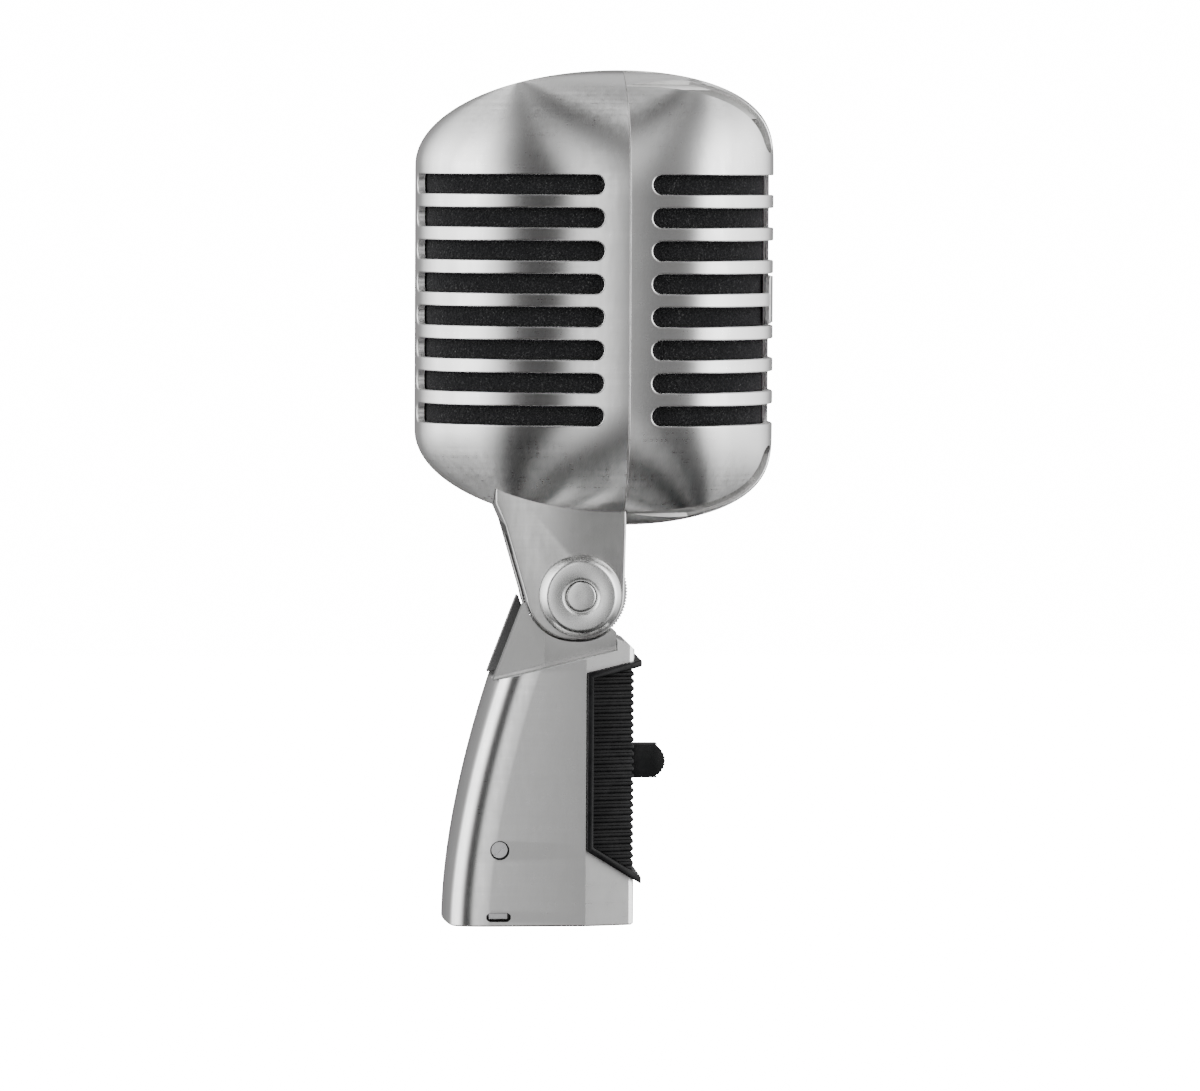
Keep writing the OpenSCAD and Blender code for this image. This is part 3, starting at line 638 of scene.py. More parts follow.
def cast(name, tone, rough, grain):
    """Matt cast metal: fine pits and uneven tone."""
    mat, shader = material(name, metallic=1.0)
    pits = noise(mat, (grain * 1000,) * 3, 4.0, 0.6)
    blotch = noise(mat, (150, 150, 150), 4.0, 0.6)
    low, high = tuple(c * 0.86 for c in tone), tuple(min(1.0, c * 1.06) for c in tone)
    wire(mat, ramp(mat, blotch, [(0.3, low), (0.7, high)]), shader.inputs["Base Color"])
    wire(mat, ramp(mat, pits, [(0.3, rough - 0.08), (0.7, rough + 0.08)]), shader.inputs["Roughness"])
    bump(mat, shader, [(pits, 0.25, 0.03)])
    return mat


def plastic(name, tone, rough, grain=2.5, gloss=0.0, shine=0.5):
    """Moulded plastic or paint: fine texture, dust in the tone, uneven gloss."""
    mat, shader = material(name, coat=gloss)
    shader.inputs["Specular IOR Level"].default_value = shine
    texture = noise(mat, (grain * 1000,) * 3, 3.0, 0.6)
    dust = noise(mat, (220, 220, 220), 6.0, 0.65)
    light = tuple(c * 1.5 + 0.006 for c in tone)
    wire(mat, ramp(mat, dust, [(0.42, tone), (0.72, light)]), shader.inputs["Base Color"])
    wire(mat, ramp(mat, texture, [(0.3, rough - 0.07), (0.7, rough + 0.08)]), shader.inputs["Roughness"])
    bump(mat, shader, [(texture, 0.15, 0.015)])
    return mat


def foam_material(name):
    """Open-cell foam: black cells with pale fibres catching the light."""
    mat, shader = material(name)
    cells = node(mat, "ShaderNodeTexVoronoi", Scale=1.0)
    wire(mat, object_space(mat, (1900, 1900, 1900)), cells.inputs["Vector"])
    fuzz = noise(mat, (2600, 2600, 2600), 5.0, 0.7)
    broad = noise(mat, (260, 260, 260), 3.0, 0.5)
    speck = total(mat, ramp(mat, fuzz, [(0.52, 0.0), (0.72, 1.0)]), ramp(mat, broad, [(0.3, 0.55), (0.7, 1.0)]))
    colour = ramp(mat, speck, [(0.0, (0.008, 0.008, 0.009)), (0.45, (0.035, 0.035, 0.036)), (1.0, (0.16, 0.16, 0.16))])
    wire(mat, colour, shader.inputs["Base Color"])
    wire(mat, ramp(mat, fuzz, [(0.3, 0.85), (0.7, 1.0)]), shader.inputs["Roughness"])
    shader.inputs["Specular IOR Level"].default_value = 0.15
    bump(mat, shader, [(cells.outputs["Distance"], 0.9, 0.35), (fuzz, 0.8, 0.2)])
    return mat


CHROME = brushed("satin_chrome", (0.84, 0.84, 0.835), 0.32, 6.5, strength=0.03, smear=1.0)
# The neck and bracket take a darker copy of the head's satin chrome: painted shade.
NECK_CHROME_PAINTED_SHADE = brushed("satin_chrome_neck_painted_shade", (0.50, 0.50, 0.495), 0.33, 6.5, strength=0.03)
TURNED = brushed("turned_chrome", (0.66, 0.66, 0.655), 0.26, 3.2, "round", 0.015)
# The base takes a somewhat darker copy of the head's satin chrome: painted shade.
BASE_CHROME_PAINTED_SHADE = brushed("satin_chrome_base_painted_shade", (0.74, 0.74, 0.735), 0.32, 6.5, strength=0.03, smear=0.95)
CAST = cast("cast_chrome", (0.62, 0.62, 0.61), 0.45, 2.2)
STEEL = brushed("steel", (0.60, 0.60, 0.61), 0.33, 4.0, "round", 0.1)
BRASS = brushed("brass", (0.80, 0.64, 0.36), 0.3, 4.0, "z", 0.1)
GOLD = brushed("contact", (0.90, 0.74, 0.42), 0.24, 4.0, "z", 0.08)
COPPER = brushed("copper", (0.80, 0.42, 0.26), 0.34, 7.0, "x", 0.3)
DARK_METAL = cast("magnet", (0.22, 0.22, 0.23), 0.5, 1.6)
# Near-black metal laid on faces in gaps, channels and recesses: painted shade.
PAINTED_SHADE_METAL = cast("painted_shade_metal", (0.07, 0.07, 0.07), 0.5, 1.6)
FOAM = foam_material("foam")
GLOSS = plastic("frame_black", (0.003, 0.003, 0.0035), 0.3, 1.2, 0.0, 0.12)
PANEL = plastic("panel_black", (0.004, 0.004, 0.0045), 0.42, 2.0, 0.0, 0.1)
KNOB = plastic("knob_black", (0.005, 0.005, 0.0055), 0.4, 3.0, 0.0, 0.2)
PLASTIC = plastic("black_plastic", (0.02, 0.02, 0.021), 0.42)
RUBBER = plastic("rubber", (0.018, 0.018, 0.018), 0.72, 1.4)
FILM = plastic("film", (0.62, 0.52, 0.32), 0.22, 0.8, 0.3)
RED = plastic("lead_red", (0.42, 0.02, 0.02), 0.4, 1.8)
BLUE = plastic("lead_blue", (0.02, 0.07, 0.4), 0.4, 1.8)

NODE_LOOKS = {
    "steel": STEEL, "foam": FOAM, "black_plastic": PLASTIC, "rubber": RUBBER, "brass": BRASS,
    "contact": GOLD, "copper": COPPER, "film": FILM, "magnet": DARK_METAL, "lead_red": RED,
    "lead_blue": BLUE, "satin_chrome": CHROME,
}


def dress(obj, mat):
    obj.data.materials.clear()
    obj.data.materials.append(mat)
    return obj


def recess_look(obj, mats, test):
    """Gives the first look to the whole piece and the second to the faces whose middle passes the test."""
    dress(obj, mats[0])
    obj.data.materials.append(mats[1])
    for polygon in obj.data.polygons:
        polygon.material_index = int(test(np.array(polygon.center) / MM))
    return obj


def place(obj, body, nodes, mat, slot):
    """Finishes a piece: its look, the body it rides, and the CAD nodes it stands for."""
    if not obj.data.materials:
        dress(obj, mat)
    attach(obj, body)
    if nodes:
        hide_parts(*nodes)
    return obj


# ------------------------------------------------------------------ head

def neck_hole():
    return block("neck_hole", (-NECK_HALF - 0.1, neck_low[1] - 0.15, 60), (NECK_HALF + 0.1, neck_high[1] + 0.15, 101))


def build_rear_casing():
    shell = half_shell("rear_casing_look", rear_girth, 150, 130, 0.0, WALL, SEAM)
    outer = rear_girth.at(lambda p: p[1] < PARTING + REAR_GAP)
    inner = rear_girth.at(lambda p: abs(p[0]) > SPINE)
    cutters = []
    for i in range(ROWS):
        for side in (-1, 1):
            s0, s1 = (inner, outer) if side > 0 else (-outer, -inner)
            cutters.append(slot_cutter("slot", rear_girth, s0, s1, row_level(i), SLOT,
                                       round_profile(SLOT_EDGE, WALL + 1.0)))
    carve(shell, [joined(cutters, "slots"), neck_hole()])
    return shade_by_surface(shell)


def build_front_casing():
    shell = half_shell("front_casing_look", front_girth, 130, 130, 0.0, WALL, SEAM)
    outer = front_girth.at(lambda p: p[1] > PARTING - FRONT_GAP)

    def along(x):
        return front_girth.at(lambda p: abs(p[0]) > x)

    rib_out, rib_in, rib_mid = along(RIB_OUT), along(RIB_IN), along(MID_RIB)
    shallow = [slot_cutter("row", front_girth, -rib_out - 0.6, rib_out + 0.6, row_level(i), SLOT,
                           round_profile(SLOT_EDGE, 1.0), False, False) for i in range(ROWS)]
    plate = slot_cutter("plate_bed", front_girth, -along(12.2), along(12.2), 0.0, 10.9,
                        [(-1.0, 0.0), (1.0, 0.0)], False, False)
    carve(shell, [joined(shallow, "rows"), plate])
    through = []
    for i in range(ROWS):
        for side in (-1, 1):
            ends = sorted((side * rib_out, side * outer))
            through.append(slot_cutter("slot", front_girth, *ends, row_level(i), SLOT,
                                       round_profile(SLOT_EDGE, WALL + 1.0), side < 0, side > 0))
            ends = sorted((side * rib_mid, side * rib_in))
            through.append(slot_cutter("slot", front_girth, *ends, row_level(i), SLOT,
                                       [(0.6, 0.0), (WALL + 1.0, 0.0)], False, False))
    grooves, windows = [], []
    for sign in (-1, 1):
        for x0, x1 in ((-GROOVE_OUT, -RIB_OUT), (-RIB_IN, -MID_RIB), (MID_RIB, RIB_IN), (RIB_OUT, GROOVE_OUT)):
            mid = (x0 + x1) / 2
            # The groove runs up to where the dome has come back to the crest.
            z = np.linspace(GROOVE_END, HALF_H - 0.01, 3000)
            past = front_y(mid, z) > -14.5
            start = float(z[np.argmax(past)]) if np.any(past) else 48.5
            grooves.append(groove_cutter("groove", x0, x1, sign, GROOVE_END, start, 0.8, 0.18))
            windows.append(groove_cutter("window", x0 + 0.05, x1 - 0.05, sign, GROOVE_END + 0.1, 39.7,
                                         WALL + 1.2, 0.0))
    carve(shell, [joined(through, "slots"), joined(grooves, "grooves"), joined(windows, "windows"), neck_hole()])
    return shade_by_surface(shell)


def foam_lining(name, middle, reach):
    """Foam behind the slots, between the levels -reach and reach."""
    depth, thickness = WALL + 0.45, 2.6
    a = middle + np.radians(np.linspace(-83, 83, 90))
    z = np.linspace(-reach, reach, 60)
    n = len(a)
    outer = head_points(a[None, :], z[:, None], depth).reshape(-1, 3)
    inner = head_points(a[None, :], z[:, None], depth + thickness).reshape(-1, 3)
    points = np.concatenate([outer, inner])
    o = len(outer)
    faces = []
    for k in range(len(z) - 1):
        for i in range(n - 1):
            q = k * n + i
            faces.append((q, q + 1, q + n + 1, q + n))
            faces.append((q + o, q + n + o, q + n + 1 + o, q + 1 + o))
    for k in range(len(z) - 1):
        for i in (0, n - 1):
            q = k * n + i
            faces.append((q, q + n, q + n + o, q + o))
    for k in (0, len(z) - 1):
        for i in range(n - 1):
            q = k * n + i
            faces.append((q, q + 1, q + 1 + o, q + o))
    return shade(mesh_object(name, points, faces), 50)


def build_nameplate():
    """Blank badge in its bed on the front, following the head's surface."""
    half = front_girth.at(lambda p: abs(p[0]) > PLATE_HALF)
    r, h = 1.2, PLATE_HALF_H
    rows = []
    for inset, grow in ((0.95, 0.0), (0.3, 0.0), (0.12, -0.06), (0.03, -0.18), (0.02, -0.3)):
        loop = []
        for cx, cz, t0 in ((1, 1, 0), (-1, 1, 90), (-1, -1, 180), (1, -1, 270)):
            for t in np.radians(np.linspace(t0, t0 + 90, 7)):
                loop.append((cx * (half - r) + (r + grow) * math.cos(t), cz * (h - r) + (r + grow) * math.sin(t)))
        s, z = np.array(loop).T
        rows.append(head_points(front_girth.angle(s), z, inset))
    # The flat faces are strips across the plate, so that they follow the curve.
    points = list(np.concatenate(rows))
    n = 28
    faces = []
    for k in range(len(rows) - 1):
        for i in range(n):
            j = (i + 1) % n
            faces.append((k * n + i, k * n + j, (k + 1) * n + j, (k + 1) * n + i))
    for k, inset in ((0, 0.95), (len(rows) - 1, 0.02)):
        right_up = [k * n + i for i in range(7)]
        left_up = [k * n + i for i in range(7, 14)]
        left_down = [k * n + i for i in range(14, 21)]
        right_down = [k * n + i for i in range(21, 28)]
        upper, lower = left_up[::-1], left_down
        reach = half - r
        previous = (left_up[0], left_down[-1])
        for a, b, c, d in zip(upper[:-1], upper[1:], lower[:-1], lower[1:]):
            faces.append((a, b, d, c))
        for s in np.linspace(-reach, reach, 26)[1:-1]:
            up = len(points)
            grow = 0.0 if k == 0 else -0.3
            for z in (h + grow, -h - grow):
                points.append(head_points(front_girth.angle(s), z, inset))
            faces.append((previous[0], up, up + 1, previous[1]))
            previous = (up, up + 1)
        faces.append((previous[0], right_up[-1], right_down[0], previous[1]))
        upper, lower = right_up[::-1], right_down
        for a, b, c, d in zip(upper[:-1], upper[1:], lower[:-1], lower[1:]):
            faces.append((a, b, d, c))
    return shade(mesh_object("nameplate_look", points, faces), 30)


def neck_outline():
    turn = arc(0, PIVOT[2], CHEEK_R, 180, 266, 40) + arc(1.2, PIVOT[2] + 0.9, 10.6, 264, 352, 40)
    return [(neck_low[1], neck_high[2]), (neck_low[1], 86)] + turn + \
        [(14.4, 80.7), (16.3, 87.3), (neck_high[1], 92.0), (neck_high[1], neck_high[2])]


def build_neck():
    neck = prism_x("neck_look", neck_outline(), -NECK_HALF, NECK_HALF)
    carve(neck, [block("gap", (-GAP_HALF, -40, 50), (GAP_HALF, 40, 84.5))])
    soften(neck, 0.45, 3, 40)
    carve(neck, [block("hollow", (-9, -6.5, 84), (9, 12, 95)),
                 rod("bore", PIN_R + 0.06, PIVOT, "x", -30, 30),
                 rod("passage", 5, (0, 3, 0), "z", 90, 110)])
    return shade(neck)


def build_caps():
    h = cap_high[0] - NECK_HALF
    profile = [(PIN_R + 0.12, 0.0), (8.9, 0.0), (8.98, 0.12), (8.98, 1.5), (8.93, 1.85), (8.8, 2.25), (8.6, 2.65),
               (8.35, 3.05), (8.05, 3.45), (7.8, 3.72), (7.55, 3.88), (7.25, 3.97), (7.0, 4.0),
               (4.25, 4.0), (4.12, 3.97), (3.72, 3.55), (3.6, 3.42), (3.6, 2.9), (PIN_R + 0.12, 2.9)]
    caps = []
    for side in (-1, 1):
        shape = [(r, side * (NECK_HALF + min(y, h))) for r, y in profile]
        caps.append(lathe("cap", shape, PIVOT, "x", 128))
    return shade(joined(caps, "pivot_caps_look"), 28)


def build_pin():
    end = pin_high[0]
    r = PIN_R
    half = [(r - 0.05, end - 0.9), (r - 0.05, end - 0.3), (r - 0.15, end - 0.1), (r - 0.35, end - 0.02), (r - 0.5, end),
            (1.0, end), (0, end)]
    profile = [(q, -y) for q, y in half[::-1]] + half
    return shade(lathe("pivot_pin_look", profile, PIVOT, "x", 96), 30)


# ------------------------------------------------------------------ bracket

def joint_at(y, lift=0.0):
    return JOINT_Z - y * math.tan(JOINT_SLOPE) + lift


def build_bracket():
    outline = [(18.8, joint_at(18.8, 0.06)), (-8.0, joint_at(-8.0, 0.06)), (-8.0, 64.0), (0, 67.0), (12.3, 70.4)]
    plates = prism_x("swivel_bracket_look", outline, -NECK_HALF, NECK_HALF)
    seats = []
    for side in (-1, 1):
        x = sorted((side * (GAP_HALF - 0.3), side * 40))
        seats.append(rod("seat", 10.15, PIVOT, "x", x[0], x[1], 160))
        seats.append(rod("seat", 11.0, PIVOT + np.array([0, 1.2, 0.9]), "x", x[0], x[1], 160))
    carve(plates, seats)
    lug = rod("lug", 9.5, PIVOT, "x", -GAP_HALF + 0.3, GAP_HALF - 0.3, 128)
    web = prism_x("web", [(-7.97, 64), (8, 66), (8, 58.5), (-7.97, 62.0)], -GAP_HALF + 0.3, GAP_HALF - 0.3)
    carve(lug, [web], "UNION")
    carve(plates, [lug], "UNION")
    carve(plates, [block("channel", (-9.4, 9.5, 40), (9.4, 30, 80)),
                   rod("wheel_gap", 12, PIVOT, "x", -1.8, 1.8, 96),
                   rod("pin_hole", PIN_R + 0.01, PIVOT, "x", -30, 30, 64)])
    # A parting line behind the hinge and a fine line above the foot.
    cuts = []
    for side in (-1, 1):
        face = side * NECK_HALF
        cuts.append(block("seam", (face - 0.4, 7.64, 50), (face + 0.4, 7.96, 66)))
        line = [(y, joint_at(y, lift)) for y, lift in ((18.6, 0.75), (-9, 0.75), (-9, 1.1), (18.6, 1.1))]
        cuts.append(prism_x("foot_line", line, face - 0.4, face + 0.4))
    carve(plates, cuts)
    soften(plates, 0.12, 2, 50)
    return shade(plates, 40)


# ------------------------------------------------------------------ base

def build_base():
    zs = np.linspace(0, 64, 65)
    rings = [[(x, y, z) for x, y in base_outline(z)] for z in zs]
    # A small chamfer round the foot.
    rings = [[(x * (1 - 0.35 / 16), y * (1 - 0.35 / 20) + 0.13, 0) for x, y in base_outline(0)]] + \
        [[(x, y, 0.35) for x, y in base_outline(0.35)]] + rings[1:]
    body = loft("base_housing_look", rings)
    # Above the slanted joint only the block at the front stands.
    above = prism_x("above", [(40, joint_at(40)), (-8.1, joint_at(-8.1)), (-8.1, 62.4), (-11.2, 61.0),
                              (-12.2, 60.0), (-20, 57.8), (-20, 90), (40, 90)], -30, 30)
    recess = prism_x("recess", offset_side(0.0), -30, 30)
    core = prism_z("core", panel_back(), -5, 70)
    carve(recess, [core])
    carve(body, [above, recess])
    soften(body, 0.28, 2, 50)
    (y, z), side = SCREW, -BASE_HALF
    latch = prism_x("latch_slot", pill_outline(15.9, 19.3, 2.1, 1.0), side - 6, side + 3.4)
    screw = prism_x("screw_seat", pill_outline(y, y, z, 2.1), side - 6, side + 3.2)
    shank = rod("shank_hole", 1.1, (0, y, z), "x", side - 1, side + 8, 32)
    cutters = [rod("thread_hole", THREAD_R + 1.7, (0, 0, 0), "z", -1, 16, 96),
               rod("socket", SOCKET_R, (0, SOCKET_Y, 0), "z", -1, SOCKET_DEPTH, 96),
               rod("socket_deep", 7.4, (0, SOCKET_Y, 0), "z", 1, SOCKET_DEPTH + 3.5, 64),
               block("cavity", (-12.2, -9, 18.6), (12.2, 13.5, 44)),
               block("cavity_top", (-10.4, -7, 43), (10.4, 10, 50)),
               block("passage", (-5, 10, 18.7), (5, 20, 26)),
               block("passage_low", (-5, 19, 18.7), (5, 24, 22)),
               rod("wire_hole", 3.5, (0, 0, 0), "z", 40, 70, 32),
               block("switch_slot", (-4.4, -20, 22.4), (4.4, -8, 43.2)),
               latch, screw, shank]
    carve(body, cutters)
    return shade_base(body)


def pill_outline(y0, y1, z, r):
    """Outline (y, z) of a slot with round ends between y0 and y1."""
    return arc(y1, z, r, -90, 90, 16) + arc(y0, z, r, 90, 270, 16)


def panel_back():
    """Plan outline of the metal behind the grip panel."""
    t = PANEL_T
    half = [(BASE_HALF - t, 12), (BASE_HALF - t, FRONT_EDGE_Y), (CORNER[0] - t, CORNER[1] + 0.6),
            (NOSE_HALF - t * 0.7, FRONT_Y + t)]
    return half + [(-x, y) for x, y in half[::-1]]


def shade_base(obj):
    """Smooth normals on the base's curved sides, taken from its outline."""
    half = np.vectorize(half_at)

    def level(q):
        d = REAR_Y - LEAN * (np.maximum(0, q[:, 2]) / LEAN_Z) ** LEAN_POWER - q[:, 1]
        return np.abs(q[:, 0]) - half(np.maximum(d, 0.003))

    def normals(p):
        g = np.stack([level(p + 0.01 * e) - level(p - 0.01 * e) for e in np.eye(3)], -1)
        return g / np.linalg.norm(g, axis=-1, keepdims=True)

    return shade_from(obj, normals, lambda p, facing: (p[:, 1] > FRONT_EDGE_Y + 0.05) & (facing > 0.97))


def build_panel():
    """Grip panel: rounded horizontal ribs wrapped round the base's front."""
    pitch, depth = 1.59, 0.55
    zs, grows = [], []
    z = 5.0
    while z < 59.0:
        for share, height in ((0.0, 0.0), (0.1, 0.75), (0.2, 0.97), (0.42, 1.0), (0.58, 0.8), (0.68, 0.1), (0.8, 0.0)):
            zs.append(z + share * pitch)
            grows.append(-depth * (1 - height))
        z += pitch
    back = plan_behind(FRONT_EDGE_Y + 0.1, 0.06)
    rings = []
    for z, grow in zip(zs, grows):
        front = [(BASE_HALF + grow, FRONT_EDGE_Y + 0.1), (BASE_HALF + grow, FRONT_EDGE_Y),
                 (CORNER[0] + grow, CORNER[1]), (CORNER[0] - 0.4 + grow, CORNER[1] - 0.8 - grow * 0.4),
                 (NOSE_HALF + grow * 0.6, FRONT_Y - grow)]
        front = front + [(-x, y) for x, y in front[::-1]]
        rings.append([(x, y, z) for x, y in front + back[::-1]])
    panel = loft("front_panel_look", rings)
    carve(panel, [prism_x("trim", offset_side(1.55), -30, 30)], "INTERSECT")
    carve(panel, [block("knob_slot", (-3.2, -20, 26.4), (3.2, 0, 39.2)),
                  rod("hole_low", 1.15, (0, 0, 19.3), "y", -20, -8, 24),
                  rod("hole_high", 1.15, (0, 0, 46.3), "y", -20, -8, 24)])
    return shade(panel, 40)


def offset_side(inset, front=RECESS_FRONT):
    """Side outline (y, z) of the panel, moved inwards by inset."""
    rear = RECESS_REAR - inset

    def edge(levels, turn):
        slope = (levels[1] - levels[0]) / (RECESS_FRONT - RECESS_REAR)
        return lambda y: levels[0] + slope * (y - RECESS_REAR) + turn * inset * math.hypot(1, slope)

    top, low = edge(RECESS_TOP, -1), edge(RECESS_LOW, 1)
    return [(rear, top(rear)), (front, top(front)), (front, low(front)), (rear, low(rear))]


def plan_behind(rear, gap):
    """Plan of the space behind the grip panel, gap into the panel."""
    half = [(BASE_HALF - PANEL_T + gap, rear), (BASE_HALF - PANEL_T + gap, FRONT_EDGE_Y),
            (CORNER[0] - PANEL_T + gap, CORNER[1] + 0.5),
            (NOSE_HALF - PANEL_T * 0.7 + 0.05, FRONT_Y + PANEL_T - 0.06)]
    return half + [(-x, y) for x, y in half[::-1]]


def build_frame():
    """Raised frame round the grip panel, with arms across the front."""
    ring = prism_x("panel_frame_look", offset_side(0.08), -30, 30)
    carve(ring, [prism_x("inside", offset_side(1.5, -30), -31, 31)])
    carve(ring, [prism_z("outer", front_plan(1.58), -5, 70)], "INTERSECT")
    carve(ring, [prism_z("inner", plan_behind(5, 0.08), -6, 71)])
    soften(ring, 0.32, 3, 40)
    return shade(ring, 35)


def build_knob():
    tip, y0 = knob_low[1], FRONT_Y
    teeth, h = 11, (knob_high[2] - knob_low[2]) / 2
    z = (knob_high[2] + knob_low[2]) / 2
    outline = [(y0 + 1.15, h), (y0 + 1.15, -h), (tip + 1.5, -h)]
    for i in range(2 * teeth + 1):
        a = math.radians(-65 + 130 * i / (2 * teeth))
        r = 4.2 + (0.0 if i % 2 == 0 else 0.26)
        outline.append((tip + 4.32 - r * math.cos(a) - 0.1, r * math.sin(a) * 0.9))
    outline += [(tip + 1.5, h)]
    outline = [(y, max(-h, min(h, v)) + z) for y, v in outline]
    knob = prism_x("switch_knob_look", outline, knob_low[0] + 0.01, knob_high[0] - 0.01)
    soften(knob, 0.12, 2, 60)
    stem = block("stem", (-2, y0 + 1.0, z - 2.8), (2, -5.45, z + 2.8))
    knob = carve(knob, [stem], "UNION")
    return shade(knob, 30)


def build_thread():
    """Threaded sleeve with a 27-per-inch helix cut into its inner wall."""
    top = thread_top
    pitch, steps = 25.4 / 27, 72
    rows = int(top / pitch * 6)
    r_out = 9.08
    points, faces = [], []
    for k in range(rows + 1):
        z = top * k / rows
        for i in range(steps):
            a = 2 * math.pi * i / steps
            phase = (z / pitch - i / steps) % 1.0
            cut = 0.42 * max(0.0, 1 - abs(phase - 0.5) * 2.6) if 0.5 < z < top - 0.4 else 0.0
            r = THREAD_R + cut + (0.35 * max(0.0, 1 - z / 0.5))
            points.append((r * math.cos(a), r * math.sin(a), z))
    n = (rows + 1) * steps
    for k in (0, 1):
        for i in range(steps):
            a = 2 * math.pi * i / steps
            points.append((r_out * math.cos(a), r_out * math.sin(a), top * k))
    for i in range(steps):
        j = (i + 1) % steps
        for k in range(rows):
            faces.append((k * steps + i, k * steps + j, (k + 1) * steps + j, (k + 1) * steps + i))
        faces.append((i, j, n + j, n + i))
        faces.append((rows * steps + i, rows * steps + j, n + steps + j, n + steps + i))
        faces.append((n + i, n + j, n + steps + j, n + steps + i))
    return shade(mesh_object("thread_insert_look", points, faces), 40)


# ------------------------------------------------------------------ assembly

place(build_rear_casing(), "head", ["rear_casing"], CHROME, "satin_chrome")
front = recess_look(build_front_casing(), (CHROME, CAST),
                    lambda c: abs(c[2] - HEAD_Z) > 31.5 and head_level(c) < -0.012)
place(front, "head", ["front_casing"], CHROME, "satin_chrome")
place(foam_lining("rear_foam_look", 0.0, 36.5), "head", ["rear_foam"], FOAM, "foam")
place(foam_lining("front_foam_look", math.pi, 41), "head", ["front_foam"], FOAM, "foam")
place(build_nameplate(), "head", ["nameplate"], CHROME, "satin_chrome")
# The faces in the gap between the neck's cheeks take near-black metal: painted shade.
neck = recess_look(build_neck(), (NECK_CHROME_PAINTED_SHADE, PAINTED_SHADE_METAL),
                   lambda c: abs(c[0]) < GAP_HALF + 0.05 and c[2] < 84.6)
place(neck, "head", ["neck"], NECK_CHROME_PAINTED_SHADE, "satin_chrome")
place(build_caps(), "head", ["pivot_caps"], TURNED, "satin_chrome")
# The faces in the channel behind the hinge take near-black metal: painted shade.
bracket = recess_look(build_bracket(), (NECK_CHROME_PAINTED_SHADE, PAINTED_SHADE_METAL), lambda c: abs(c[0]) < 9.45 and c[1] > 9.4)
place(bracket, "base", ["swivel_bracket"], NECK_CHROME_PAINTED_SHADE, "satin_chrome")
place(build_pin(), "base", ["pivot_pin"], TURNED, "satin_chrome")


def in_side_recess(c):
    """Whether c lies in the screw's seat or in the latch slot, whose faces get near-black metal as painted shade."""
    seat = math.hypot(c[1] - SCREW[0], c[2] - SCREW[1]) < 2.3
    slot = 14 < c[1] < 21 and 0.9 < c[2] < 3.3
    return -BASE_HALF + 0.15 < c[0] < -12.5 and (seat or slot)


# The screw's seat and the latch slot take near-black metal: painted shade.
base = recess_look(build_base(), (BASE_CHROME_PAINTED_SHADE, PAINTED_SHADE_METAL), in_side_recess)
place(base, "base", ["base_housing"], BASE_CHROME_PAINTED_SHADE, "satin_chrome")
place(build_panel(), "base", ["front_panel"], PANEL, "black_plastic")
place(build_frame(), "base", ["panel_frame"], GLOSS, "black_plastic")
place(build_thread(), "base", ["thread_insert"], BRASS, "brass")
place(build_knob(), "switch", ["switch_knob"], KNOB, "black_plastic")

slot_of = {part["node"]: part["material_slot"] for part in frame["record"]["subparts"]}
for name, obj in frame["nodes"].items():
    if not obj.hide_render:
        dress(obj, NODE_LOOKS[slot_of[name]])


# ------------------------------------------------------------------ studio

def floor_look():
    """Pale paper: lit and shadowed as usual, but bright enough that its far edge is lost in the white."""
    mat, shader = material("studio_floor")
    grain = noise(mat, (90, 90, 90), 3.0, 0.5)
    seen = node(mat, "ShaderNodeLightPath")
    tone = node(mat, "ShaderNodeMixRGB")
    wire(mat, seen.outputs["Is Camera Ray"], tone.inputs["Fac"])
    wire(mat, ramp(mat, grain, [(0.3, 0.13), (0.7, 0.15)]), tone.inputs["Color1"])
    wire(mat, ramp(mat, grain, [(0.3, 0.86), (0.7, 0.9)]), tone.inputs["Color2"])
    wire(mat, tone.outputs["Color"], shader.inputs["Base Color"])
    shader.inputs["Roughness"].default_value = 0.7
    shader.inputs["Specular IOR Level"].default_value = 0.2
    glow = node(mat, "ShaderNodeEmission", Strength=26.0)
    share = total(mat, seen.outputs["Is Camera Ray"], 0.75)
    mix = node(mat, "ShaderNodeMixShader")
    wire(mat, share, mix.inputs["Fac"])
    wire(mat, shader.outputs["BSDF"], mix.inputs[1])
    wire(mat, glow.outputs["Emission"], mix.inputs[2])
    # Reflections look through the floor, at the studio's lower half.
    ends = node(mat, "ShaderNodeMixShader")
    wire(mat, seen.outputs["Is Camera Ray"], ends.inputs["Fac"])
    wire(mat, node(mat, "ShaderNodeBsdfTransparent").outputs["BSDF"], ends.inputs[1])
    wire(mat, mix.outputs["Shader"], ends.inputs[2])
    wire(mat, ends.outputs["Shader"], mat.node_tree.nodes["Material Output"].inputs["Surface"])
    return mat


floor = block("studio_floor", (-1200, -1200, -6), (700, 1200, -0.4))
dress(floor, floor_look())


def area_light(name, azimuth, elevation, distance, width, height, power, aim=(0, 0, 0.11)):
    """A softbox at this azimuth (0 in front, 90 on +X) that faces the object."""
    a, e = math.radians(azimuth), math.radians(elevation)
    back = Vector((math.sin(a) * math.cos(e), -math.cos(a) * math.cos(e), math.sin(e)))
    light = bpy.data.lights.new(name, "AREA")
    light.shape = "RECTANGLE"
    light.size = width
    light.size_y = height
    light.energy = power
    lamp = bpy.data.objects.new(name, light)
    bpy.context.scene.collection.objects.link(lamp)
    lamp.location = Vector(aim) + back * distance
    lamp.rotation_euler = (-back).to_track_quat("-Z", "Y").to_euler()
    return lamp


area_light("softbox_back", 90, 50, 1.2, 0.9, 0.7, 1.2)
area_light("softbox_rear", -150, 18, 1.3, 0.5, 1.2, 2.5)
area_light("softbox_front", -40, 15, 1.3, 0.5, 1.2, 2.5)

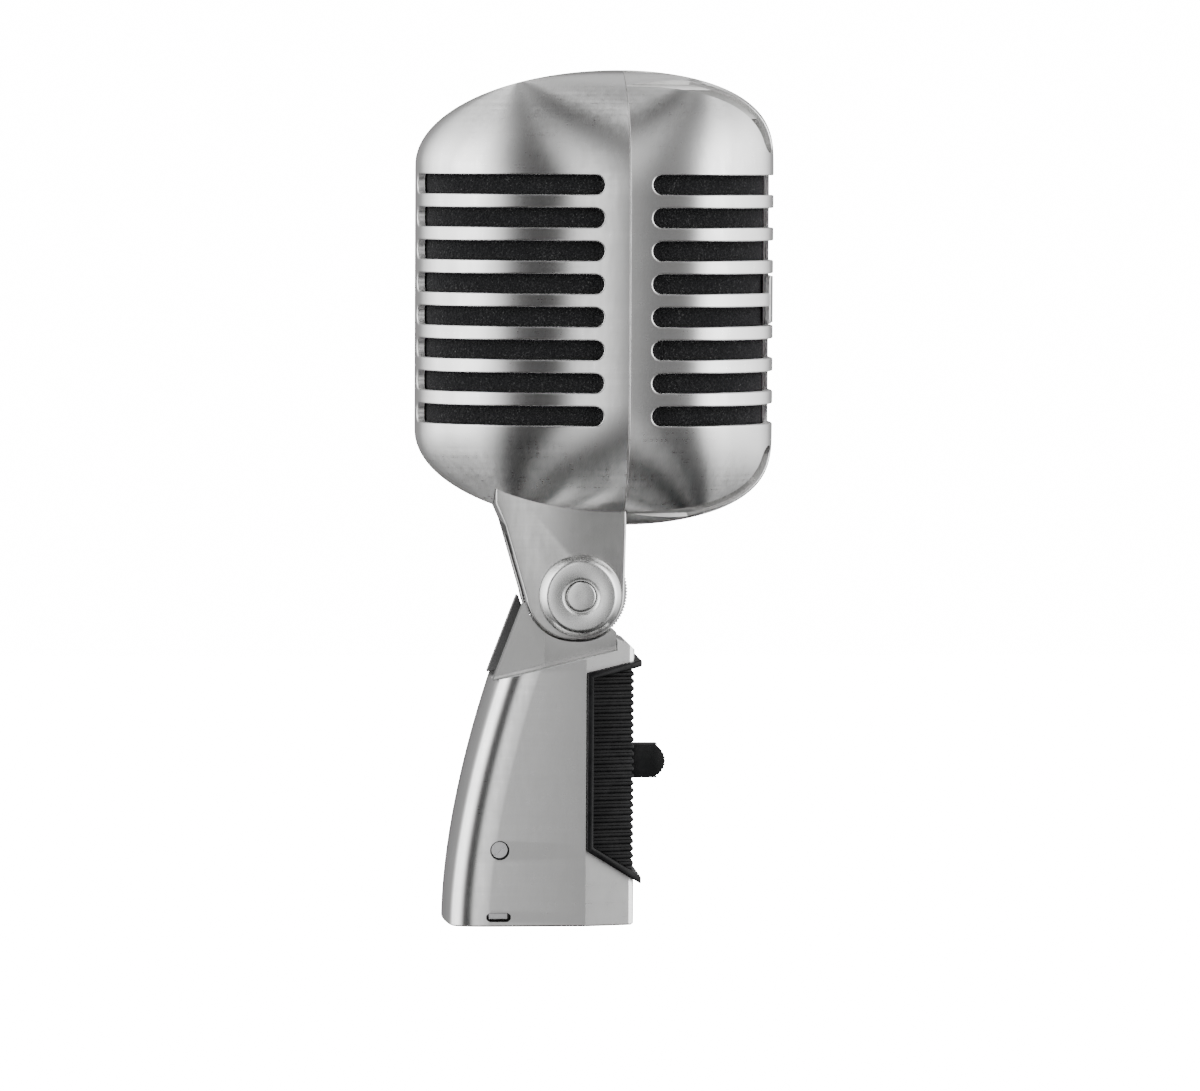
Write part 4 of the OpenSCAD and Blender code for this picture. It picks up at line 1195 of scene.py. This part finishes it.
# The surroundings: white to the camera, and a studio with dark gaps in reflections.
world = bpy.data.worlds.new("studio")
bpy.context.scene.world = world
world.use_nodes = True
world.node_tree.nodes.clear()

direction = node(world, "ShaderNodeTexCoord")
split = node(world, "ShaderNodeSeparateXYZ")
wire(world, direction.outputs["Generated"], split.inputs["Vector"])

# Turn round the object from the camera's side, -180 in degrees to 180, rear positive.
turn = total(world, split.outputs["Y"], total(world, split.outputs["X"], -1.0), "ARCTAN2")
turn = total(world, total(world, turn, 2 * math.pi, "DIVIDE"), 0.5, "ADD")
around = ramp(world, turn, [((a + 180) / 360, tone) for a, tone in (
    (-180, 0.05), (-150, 0.1), (-120, 0.5), (-60, 1.0), (-45, 1.0), (-37, 0.75), (-31, 0.1), (-24, 0.07),
    (-7, 0.08), (-3, 0.15), (1, 0.42), (4, 0.52), (11, 0.52), (13, 0.14), (15, 0.022), (31, 0.022),
    (35, 0.08), (41, 0.5), (49, 0.95), (100, 0.9), (130, 0.4), (150, 0.1), (180, 0.05))])
height = ramp(world, total(world, total(world, split.outputs["Z"], 0.5), 0.5, "ADD"), [
    (0.0, 0.01), (0.1, 0.03), (0.25, 0.12), (0.38, 0.6), (0.47, 1.0), (0.75, 1.0), (0.88, 0.35), (0.96, 0.1),
    (1.0, 0.03)])
glow = node(world, "ShaderNodeMixRGB", Fac=1.0)
glow.blend_type = "MULTIPLY"
wire(world, around, glow.inputs["Color1"])
wire(world, height, glow.inputs["Color2"])
lit = node(world, "ShaderNodeBackground", Strength=4.8)
wire(world, glow.outputs["Color"], lit.inputs["Color"])
white = node(world, "ShaderNodeBackground", Color=(1, 1, 1, 1), Strength=16.0)
ray = node(world, "ShaderNodeLightPath")
choice = node(world, "ShaderNodeMixShader")
wire(world, ray.outputs["Is Camera Ray"], choice.inputs["Fac"])
wire(world, lit.outputs["Background"], choice.inputs[1])
wire(world, white.outputs["Background"], choice.inputs[2])
out = node(world, "ShaderNodeOutputWorld")
wire(world, choice.outputs["Shader"], out.inputs["Surface"])


# ------------------------------------------------------------------ camera

AZIMUTH, ELEVATION, ROLL = math.radians(-94.5), math.radians(3.68), math.radians(0.3)
DISTANCE = 1.316
AIM = Vector((0.0, -0.00536, 0.08201))

lens = bpy.data.cameras.new("camera")
lens.sensor_width = 36
lens.lens = 180
lens.clip_start = 0.05
camera = bpy.data.objects.new("camera", lens)
bpy.context.scene.collection.objects.link(camera)
back = Vector((math.sin(AZIMUTH) * math.cos(ELEVATION), -math.cos(AZIMUTH) * math.cos(ELEVATION), math.sin(ELEVATION)))
camera.location = AIM + back * DISTANCE
toward = (-back).to_track_quat("-Z", "Y").to_matrix().to_4x4()
camera.rotation_euler = (toward @ Matrix.Rotation(ROLL, 4, "Z")).to_euler()
bpy.context.scene.camera = camera
